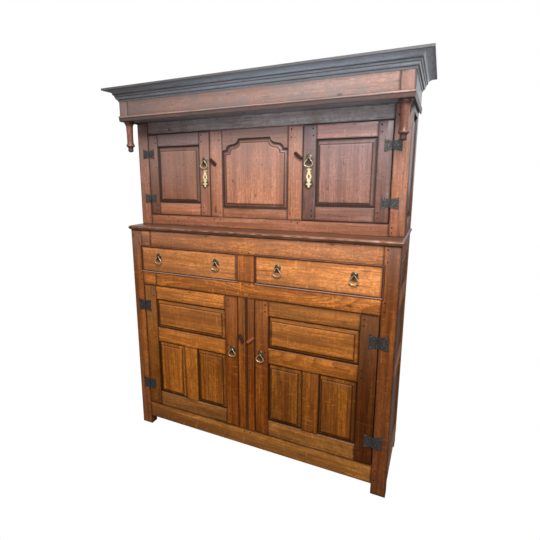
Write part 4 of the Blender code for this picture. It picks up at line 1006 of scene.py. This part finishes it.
def arch_head_mesh(back):
    """Board over the bay, sawn to the ogee, with a softened edge."""
    arch = arch_outline()[1:-1]

    def outline(rise):
        sawn = [(x * (1 + rise), z + rise * 0.9) for x, z in arch[1:-1]]
        half = BAY_HALF - JOINT
        return ([(half, Z_UPPER_RAIL - JOINT), (half, arch[0][1])] + sawn
                + [(-half, arch[0][1]), (-half, Z_UPPER_RAIL - JOINT)])

    return lofted([upright(outline(ARCH_SOFT), UPPER_FRONT), upright(outline(0.0), UPPER_FRONT + ARCH_SOFT),
                   upright(outline(0.0), back)], dirt_and_painted_light=[0.0, 0.45, 0.6])


def arched_panel():
    """Fielded panel of the bay, its field cut to the same ogee."""
    def inset(share, more):
        reach = ARCH_FIELD_MARGIN * share + more
        return arch_outline(-reach, lobe_shrink=reach / 2)

    panel = fielded(arch_outline(TONGUE), panel_rings(inset, 0.12, 0.010), UPPER_FRONT)
    one_board(panel, 'Z', tone=0.25).build("arched_panel_board", "carcase", "upper_oak",
                                           ["arched_centre_panel"], UPPER_OAK)


# Canopy

MITRES = ((-FRIEZE_HALF, BACK, LEFT, 0), (-FRIEZE_HALF, FRIEZE_FRONT, LEFT, -1),
          (FRIEZE_HALF, FRIEZE_FRONT, RIGHT, -1), (FRIEZE_HALF, BACK, RIGHT, 0))


def mitred_runs(boards, profile, shades, tone=0.0, left_shade=0.0):
    """Runs an (out, z) moulding with its dirt and painted shade round three sides, as three boards mitred at
    the corners.

    The left_shade is painted shade that grows towards its left end; the right return is painted lighter, for
    window light from the right.
    """
    shaded_left = [shade + left_shade * (1 - shade) for shade in shades]
    dirt_and_painted_light = [shaded_left, shaded_left, shades, shades]
    for number, (along, face, window_light) in enumerate((('Y', 'X', 0.0), ('X', 'Y', 0.0), ('Y', 'X', 0.6))):
        rings = [[(x + out * out_x, y + out * out_y, z) for out, z in profile]
                 for x, y, out_x, out_y in MITRES[number:number + 2]]
        run = lofted(rings, smooth=True, dirt_and_painted_light=dirt_and_painted_light[number:number + 2])
        boards.absorb(run, along, face, tone + window_light)


def frieze():
    """Frieze boards between corner blocks, their bead, and the boards over and under the canopy."""
    boards = Boards()
    inner, block = FRIEZE_HALF - FRIEZE_BOARD, FRIEZE_HALF - CORNER_POST
    depth, block_end = FRIEZE_FRONT + FRIEZE_BOARD, FRIEZE_FRONT + CORNER_POST
    roof = Z_TOP - GAP
    # The front board is painted darker towards its left end, as if the light falls from the right.
    boards.plank((-block, FRIEZE_FRONT, Z_SOFFIT), (block, depth, roof), 'X', left_end_shade=0.22)
    # The right side board is painted lighter and takes the grey soffit finish, for window light from the
    # right.
    for side, block_tone, tone, material in ((LEFT, -0.3, 0.3, 0), (RIGHT, -0.1, 0.65, 1)):
        boards.plank((side * FRIEZE_HALF, FRIEZE_FRONT, Z_SOFFIT + BLOCK_SUNK),
                     (side * block, block_end, roof - BLOCK_SUNK), 'Z', tone=block_tone)
        boards.plank((side * FRIEZE_HALF, block_end, Z_SOFFIT), (side * inner, REAR, roof), 'Y', 'X',
                     tone=tone, material=material)
    middle = (depth + REAR) / 2
    for base, material in ((Z_SOFFIT, 1), (roof - BOARD, 2)):
        for y0, y1 in ((depth, middle), (middle, REAR)):
            boards.plank((-inner, y0, base), (inner, y1, base + BOARD), 'X', 'Z', material=material)
    low, high = Z_SOFFIT - FRIEZE_BEAD_DROP, Z_SOFFIT + FRIEZE_BEAD
    nose = FRIEZE_BEAD_PROUD
    widest = (low + 2 * high) / 3
    # The bead's shades paint shade on its underside and where it meets the frieze, and a highlight on its
    # upper round.
    bead = [(-nose / 2, low), (0, low)]
    bead += quarter((0, low), (nose * 0.8, widest - 0.002), hollow=True)
    shades = [0.8] * 4 + [0.72] * (len(bead) - 6) + [0.8, 0.95]
    bead += [(nose * 0.65, widest - 0.001), (nose * 0.95, widest + 0.0005)]
    shades += [0.95, 0.2]
    bead += quarter((nose, widest + 0.001), (nose / 4, high), hollow=False)
    shades += [-0.12] * 5 + [0.15] * (ARC_STEPS - 7) + [0.5, 0.9]
    bead.append((-nose / 2, high))
    mitred_runs(boards, bead, shades + [0.9], -0.15)
    boards.build("canopy_boards", "carcase", "canopy_oak", ["canopy_frieze"], CANOPY_OAK, SOFFIT_GLARE_OAK,
                 PLAIN_OAK)


def cornice():
    """Cornice in three mitred lengths: a plain band, a small round, a small hollow, a great cove, a lip."""
    boards = Boards()
    # Its shades paint shade: dark quirks, the small round and hollow darker under the cove, painted shade on
    # the lit lip, and more towards the left end.
    shares = [(0, 0), (CORNICE_FILLET, 0), CORNICE_BAND]
    shades = [0.8, 0.6, 0.5]
    for head, round_out, round_shade in ((CORNICE_ROUND, True, 0.42), (CORNICE_HOLLOW, False, 0.3),
                                  (CORNICE_COVE, False, 0.0)):
        out, rise = shares[-1]
        start = (out + CORNICE_FILLET, rise + CORNICE_FILLET)
        shares += [(start[0], rise), start]
        shares += quarter(start, head, hollow=round_out)
        shades += [0.95, 0.85, 0.4 + round_shade] + [round_shade] * (ARC_STEPS - 1)
    inside, lip = 1 - CORNICE_SOFT, CORNICE_COVE[1]
    shares += [(inside, lip), (1, lip + CORNICE_SOFT), (1, inside), (inside, 1), (0, 1)]
    height = Z_TOP - Z_CORNICE
    profile = [(max(GAP, out * CORNICE_REACH), Z_CORNICE + rise * height) for out, rise in shares]
    mitred_runs(boards, profile, shades + [0.62, 0.76, 0.80, 0.85, 0.4], left_shade=0.32)
    boards.build("cornice_lengths", "carcase", "canopy_oak", ["cornice_moulding"], CORNICE_SHEEN_OAK)


def pendants():
    """Turned drops under the canopy's front corners."""
    for word, _ in SIDES:
        node = f"{word}_pendant"
        low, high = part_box(node)
        centre, length = (low + high) / 2, high.z - low.z
        collar = (high.x - low.x) / 2
        shaft, bell, tip = collar * 0.61, collar * 0.83, collar * 0.55
        # The third number darkens the wood: painted shade at the collar under the soffit and in the creases,
        # and darker at the tip.
        profile = [(0, 0, 0.8), (collar, 0, 0.8), (collar, 0.04, 0.7), (collar * 0.97, 0.065, 0.7),
                   (collar * 0.88, 0.09, 0.8), (shaft * 1.24, 0.13, 0.8), (shaft * 1.12, 0.16, 0.5),
                   (shaft * 1.10, 0.20, 0.1), (shaft * 1.05, 0.32, 0.0), (shaft, 0.45, 0.0),
                   (shaft, 0.60, 0.0), (shaft * 1.02, 0.69, 0.2), (shaft * 1.08, 0.725, 0.6),
                   (bell * 0.94, 0.75, 0.2), (bell, 0.78, 0.0), (bell * 0.97, 0.81, 0.3), (tip, 0.84, 0.9),
                   (tip * 0.90, 0.87, 0.9), (tip * 0.90, 0.90, 0.8), (tip * 0.96, 0.93, 0.7),
                   (tip * 0.90, 0.965, 0.8), (tip * 0.60, 0.99, 0.8), (0, 1.0, 0.8)]
        part = turned([(radius, -share * length) for radius, share, _ in profile])
        shade = part.verts.layers.float.new("shade")
        for vert in part.verts:
            vert[shade] = min(profile, key=lambda row: abs(row[1] * length + vert.co.z))[2]
        pendant = one_board(placed(part, (centre.x, centre.y, high.z)), 'Z')
        pendant.build(f"{word}_pendant_turned", "carcase", "canopy_oak", [node], PENDANT_OAK)


# Doors and drawers

WORN = Vector((DOOR_WORN, 0, DOOR_WORN))
UPPER_DOOR_TONES = {LEFT: (-0.1, 0.35, -0.35, -0.5), RIGHT: (-0.75, -0.25, 1.05, -0.1)}


def door_frame(side, face, corners, sight, stiles, rails, peg_in, peg_inset):
    """Boards of a pegged door frame, drawn in where years of shutting have worn its edges.

    A stile is (tone, red, material), a rail (foot, head, tone, rings, worn_highlight, material) from the
    bottom up, worn_highlight being wear with a painted highlight along its upper front edge;
    the lowest foot and the highest head are the door's own.
    """
    boards = Boards()
    back = face + DOOR_THICKNESS
    low, high = corners[0] + WORN, corners[1] - WORN
    near, far = sight
    for x0, x1, (tone, red, material) in ((low.x, near, stiles[0]), (far, high.x, stiles[1])):
        boards.plank((side * x0, face, low.z), (side * x1, back, high.z), 'Z', tone=tone, red=red,
                     material=material)
    for z0, z1, tone, rings, worn_highlight, material in rails:
        z0, z1 = z0 or low.z, z1 or high.z
        boards.plank((side * near, face, z0), (side * far, back, z1), 'X', tone=tone, rings=rings,
                     worn_highlight=worn_highlight, material=material)
        boards.tenon_pegs((side * (near - peg_in), side * (far + peg_in)), z0, z1, peg_inset, face)
    return boards


def lower_door(word, side):
    """Pegged frame of a lower door and its three panels."""
    name = f"lower_{word}_door"
    dark = 0.0 if side == LEFT else -0.35
    (near, top_foot), (far, top_head) = sight_of("lower_right_door_top_panel")
    (outer, foot), (_, head) = sight_of("lower_right_door_outer_panel")
    _, (inner, _) = sight_of("lower_right_door_inner_panel")
    stiles = ((dark / 2 - 0.2, 0.65, 0), (2.4 * dark - 0.75, -dark * 2, 0))
    rails = ((None, foot, -0.35, 0.3, 0.5, 2), (head, top_foot, 0.5 + 1.2 * dark, 0.7, 0.5, 0),
             (top_head, None, 0.35 + 1.9 * dark, 0.5, 0.0, 0))
    boards = door_frame(side, FRONT, (DOOR_LOW, DOOR_HIGH), (near, far), stiles, rails, DOOR_PEG_IN,
                        DOOR_PEGS)
    boards.plank((side * inner, FRONT, foot - RUBBED_EDGE), (side * outer, FRONT + DOOR_THICKNESS, head), 'Z',
                 tone=-0.2)
    boards.build(f"{name}_boards", name, "door_oak", [f"{name}_frame"], DOOR_OAK, PEG_OAK, FOOT_OAK)
    for label, along, tone in (("top", 'X', 0.12 + dark / 3), ("outer", 'Z', 0.02 + 1.9 * dark),
                               ("inner", 'Z', -0.4 + dark / 2)):
        node = f"{name}_{label}_panel"
        panel = one_board(square_panel(*sight_of(node), FRONT), along, tone=tone)
        panel.build(f"{node}_board", name, "door_oak", [node], DOOR_OAK)


def upper_door(word, side):
    """Pegged frame of an upper door and its panel."""
    name = f"upper_{word}_door"
    (near, foot), (far, head) = sight_of("upper_right_door_panel")
    near_tone, foot_tone, head_tone, panel_tone = UPPER_DOOR_TONES[side]
    wood = 0 if side == LEFT else 2
    stiles = ((near_tone, 0.0, wood), (-0.8, 0.0, wood))
    rails = ((None, foot, foot_tone, 0.25, 0.3, wood), (head, None, head_tone, 0.25, 0.3, 2))
    boards = door_frame(side, UPPER_FRONT, (UPPER_DOOR_LOW, UPPER_DOOR_HIGH), (near, far), stiles, rails,
                        PEG_IN, UPPER_DOOR_PEGS)
    boards.build(f"{name}_boards", name, "upper_oak", [f"{name}_frame"], UPPER_OAK, PEG_OAK, DUSKY_OAK)
    node = f"{name}_panel"
    panel = one_board(square_panel(*sight_of(node), UPPER_FRONT, 0.20, 0.009), 'Z', tone=panel_tone)
    panel.build(f"{node}_board", name, "upper_oak", [node], UPPER_OAK if side == LEFT else DUSKY_OAK)


def drawer(word, side):
    """Drawer: light front, sides nailed to it, back and bottom."""
    name = f"{word}_drawer"
    (near, _, base), (far, rear, head) = DRAWER_LOW, DRAWER_HIGH
    behind, top = FRONT + DRAWER_FRONT, head + DOOR_GAP - DRAWER_HEADROOM
    boards = Boards()
    # The right drawer front is painted lighter than the left, for window light from the right.
    boards.plank((side * near, FRONT, base + DOOR_GAP - GAP), (side * far, behind, head), 'X',
                 tone=0.2 if side == RIGHT else -0.05)
    for edge, inwards in ((near, DRAWER_SIDE), (far, -DRAWER_SIDE)):
        boards.plank((side * edge, behind, base), (side * (edge + inwards), rear, top), 'Y', 'X', -0.5)
    boards.plank((side * near, rear - DRAWER_SIDE, base), (side * far, rear, top), 'X', tone=-0.5)
    boards.plank((side * near, behind, base), (side * far, rear, base + DRAWER_BOTTOM), 'Y', 'Z', -0.5)
    boards.build(f"{name}_boards", name, "drawer_oak", [name], DRAWER_OAK)


# Fittings

def drop_points():
    """Half of the onion-shaped drop from the eye down to its lowest point."""
    widest = -DROP_LENGTH * DROP_SHOULDER
    points = [(0.0, 0.0), (DROP_NECK * 0.6, 0.0)]
    for step in range(1, ARC_STEPS):
        share = step / ARC_STEPS
        flare = share ** 2 * (3 - 2 * share)
        points.append((DROP_NECK + (DROP_HALF_WIDTH - DROP_NECK) * flare, widest * share))
    for step in range(ARC_STEPS + 1):
        angle = pi / 2 * step / ARC_STEPS
        points.append((DROP_HALF_WIDTH * cos(angle), widest - (DROP_LENGTH + widest) * sin(angle)))
    return points


def swept_loop(points, radii):
    """A closed round wire through (x, z) points in the XZ plane, with a radius at each."""
    bm = bmesh.new()
    loops = []
    for (x, z), radius, run in zip(points, radii, runs_at(points)):
        section = [(radius * a, radius * b) for a, b in circle(WIRE_SIDES)]
        loops.append([bm.verts.new((x + run.y * out, deep, z - run.x * out)) for out, deep in section])
    bridge(bm, loops + loops[:1], True)
    return bm


def add_fitting(name, bm, body, slot, material, *nodes):
    bmesh.ops.recalc_face_normals(bm, faces=bm.faces)
    make_piece(name, bm, FITTING_CREASE, body, nodes, [material])


def merged(*parts):
    """One mesh that holds several."""
    whole = bmesh.new()
    for part in parts:
        holder = bpy.data.meshes.new("holder")
        part.to_mesh(holder)
        part.free()
        whole.from_mesh(holder)
        bpy.data.meshes.remove(holder)
    return whole


# The rose's face, as shares of its radius and of its thickness
ROSE_FACE = ((1, 0.22), (0.93, 0.42), (0.84, 0.36), (0.78, 0.52), (0.62, 0.78), (0.42, 0.95), (0.26, 1.0),
             (0, 1.0))


def pull(drop_body, axis):
    """Rose and eye on the wood, and the drop that swings in the eye."""
    rest = DROP_WIRE + GAP - (EYE_RADIUS - EYE_WIRE)
    centre = Vector((axis.x, axis.y + EYE_OUT, axis.z - rest))
    rose = turned([(0, -ROSE_SUNK), (ROSE_RADIUS, -ROSE_SUNK)]
                  + [(ROSE_RADIUS * a, ROSE_THICKNESS * b) for a, b in ROSE_FACE], ROSE_SIDES)
    for vert in rose.verts:
        if hypot(vert.co.x, vert.co.y) > ROSE_RADIUS * 0.7:
            wave = 1 + ROSE_WAVE * cos(ROSE_PETALS * atan2(vert.co.y, vert.co.x))
            vert.co.x *= wave
            vert.co.y *= wave
    reach = EYE_OUT - EYE_RADIUS
    stem = turned([(0, 0), (STEM[0], 0), (STEM[1], reach), (0, reach)], STEM_SIDES)
    ring = [(EYE_RADIUS + EYE_WIRE * a, EYE_WIRE * b) for a, b in circle(WIRE_SIDES)]
    eye = placed(turned(ring, EYE_SIDES, closed=True), centre - Vector((0, EYE_OUT, 0)), 'Y')
    mount = merged(placed(rose, centre, 'X'), placed(stem, centre, 'X'), eye)
    add_fitting(f"{drop_body}_rose", mount, JOINTS[drop_body]["parent"], "aged_brass", ROSE_BRASS)
    half = drop_points()
    loop = half[:-1] + [(0, -DROP_LENGTH)] + [(-x, z) for x, z in reversed(half[1:-1])]
    radii = []
    for _, z in loop:
        share = min(1.0, -z / DROP_LENGTH)
        radii.append(DROP_TOP_WIRE + (DROP_FOOT_WIRE - DROP_TOP_WIRE) * share ** 2)
    drop = placed(swept_loop(loop, radii), axis)
    add_fitting(f"{drop_body}_wire", drop, drop_body, "aged_brass", BRASS,
                drop_body.replace("_drop", "_pull_drop"))


NAIL_HEAD = ((0, -0.0006), (0.0032, -0.0006), (0.0030, 0.0006), (0.0020, 0.0013), (0, 0.0016))
NAIL_PLACES = ((0.78, 0.36), (0.78, -0.36), (0.52, 0.0))     # shares of a leaf's reach and of its height


def hinges():
    """Iron finish and softened edges for the leaves, with three nails in each."""
    for node, obj in frame["nodes"].items():
        if not node.endswith("_leaf"):
            continue
        wood, iron = (UPPER_FRONT, GREY_IRON) if node.startswith("upper") else (FRONT, IRON)
        wear_solid(obj, iron, IRON_WEAR)
        low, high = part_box(node)
        axis = JOINTS[node.split("_door_")[0] + "_door"]["pos_m"][0]
        reach = max((low.x - axis, high.x - axis), key=abs)
        middle, tall = (low.z + high.z) / 2, high.z - low.z
        nails = []
        for across, up in NAIL_PLACES:
            place = (axis + reach * across, wood - GAP - LEAF, middle + tall * up)
            nails.append(placed(turned(NAIL_HEAD, NAIL_SIDES), place, 'X'))
        add_fitting(f"{node}_nails", merged(*nails), obj["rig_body"], "forged_iron", NAIL_IRON)


def wear_solid(obj, material, width):
    """Gives a CAD solid its finish and rounds its edges a little."""
    obj.data.materials.clear()
    obj.data.materials.append(material)
    bevel = obj.modifiers.new("worn_edges", 'BEVEL')
    bevel.width = width
    bevel.segments = 2
    bevel.limit_method = 'ANGLE'
    bevel.angle_limit = radians(35)


def key_plates_and_buttons():
    """Finishes of the pierced key plates and of the turn buttons."""
    for node, obj in frame["nodes"].items():
        if node.endswith("_escutcheon"):
            wear_solid(obj, BRIGHT_BRASS, BRASS_WEAR)
        if node.endswith("_turn_button"):
            # The lower right button takes the brighter copy, painted as if lit.
            painted_lit = node.startswith("lower_right")
            wear_solid(obj, LIT_BUTTON_WOOD if painted_lit else BUTTON_WOOD, BUTTON_WEAR)


# Studio

ROOM_FRONT = (0.34, 0.30, 0.27)
ROOM_BACK = (0.95, 1.0, 1.08)
FLOOR_REACH = 30.0


def studio():
    """A pale floor, a room that is dim in front and bright behind, and two lamps."""
    floor_mesh = bpy.data.meshes.new("floor")
    corners = rectangle((-FLOOR_REACH, -FLOOR_REACH), (FLOOR_REACH, FLOOR_REACH))
    floor_mesh.from_pydata([(x, y, 0) for x, y in corners], [], [(0, 1, 2, 3)])
    floor = linked("floor", floor_mesh)
    material, nodes, shader = finish("floor_pale")
    seen = nodes.make("LightPath")["Is Camera Ray"]
    nodes.fill(shader, {"Base Color": nodes.mix(seen, (0.22, 0.20, 0.19), (0, 0, 0)),
                        "Emission Color": (1, 1, 1, 1), "Emission Strength": seen,
                        "Roughness": 0.9, "Specular IOR Level": 0.0})
    floor_mesh.materials.append(material)
    world = bpy.data.worlds.new("studio")
    bpy.context.scene.world = world
    world.use_nodes = True
    nodes = Nodes(world.node_tree)
    seen = nodes.make("LightPath")["Is Camera Ray"]
    behind = nodes.ramp(nodes.split(nodes.make("TexCoord")["Generated"])[1], 0.1, 0.8)
    room = nodes.mix(behind, ROOM_FRONT, ROOM_BACK)
    nodes.fill(world.node_tree.nodes["Background"], {"Color": nodes.mix(seen, room, (1, 1, 1))})
    lamp("key", (1.1, -2.6, 3.7), (0.1, -0.1, 1.0), 1.8, 172, (1.0, 0.97, 0.94))
    lamp("canopy_fill", (0.7, -2.6, 0.9), (0.2, -0.2, 1.92), 0.8, 1.3, (0.84, 0.96, 1.10), 34)
    bpy.context.scene.view_settings.view_transform = 'Standard'


def lamp(name, place, target, size, power, colour, spread=180):
    """A square lamp turned to its target, its beam kept within the spread in degrees."""
    data = bpy.data.lights.new(name, 'AREA')
    data.spread = radians(spread)
    data.shape = 'SQUARE'
    data.size = size
    data.energy = power
    data.color = colour
    obj = linked(name, data)
    obj.location = place
    obj.visible_camera = False
    obj.rotation_euler = (Vector(target) - Vector(place)).to_track_quat('-Z', 'Y').to_euler()


def camera():
    """Stands where the photograph was taken from, a little right of the middle, at eye height."""
    data = bpy.data.cameras.new("camera")
    data.sensor_width = 36.0
    data.lens = 26.36
    data.shift_x = 0.039
    data.shift_y = -0.0279
    obj = linked("camera", data)
    right = Vector((0.90187, 0.43195, -0.00773))
    forward = Vector((-0.42499, 0.88384, -0.19548))
    up = right.cross(forward)
    turn = Matrix((right, up, -forward)).transposed().to_4x4()
    obj.matrix_world = Matrix.Translation((0.825, -1.868, 1.458)) @ turn
    bpy.context.scene.camera = obj


lower_front()
stage_sides("lower", FRONT, 0.0, LOWER_SIDE_RAILS, LOWER_OAK)
back_boards()
decks()
waist_board()
upper_front()
arched_panel()
stage_sides("upper", UPPER_FRONT, Z_UPPER_FOOT, UPPER_SIDE_RAILS, UPPER_OAK)
frieze()
cornice()
pendants()
for door_word, door_side in SIDES:
    lower_door(door_word, door_side)
    upper_door(door_word, door_side)
    drawer(door_word, door_side)
for drop, eye_place in DROP_AXES.items():
    pull(drop, eye_place)
hinges()
key_plates_and_buttons()
studio()
camera()
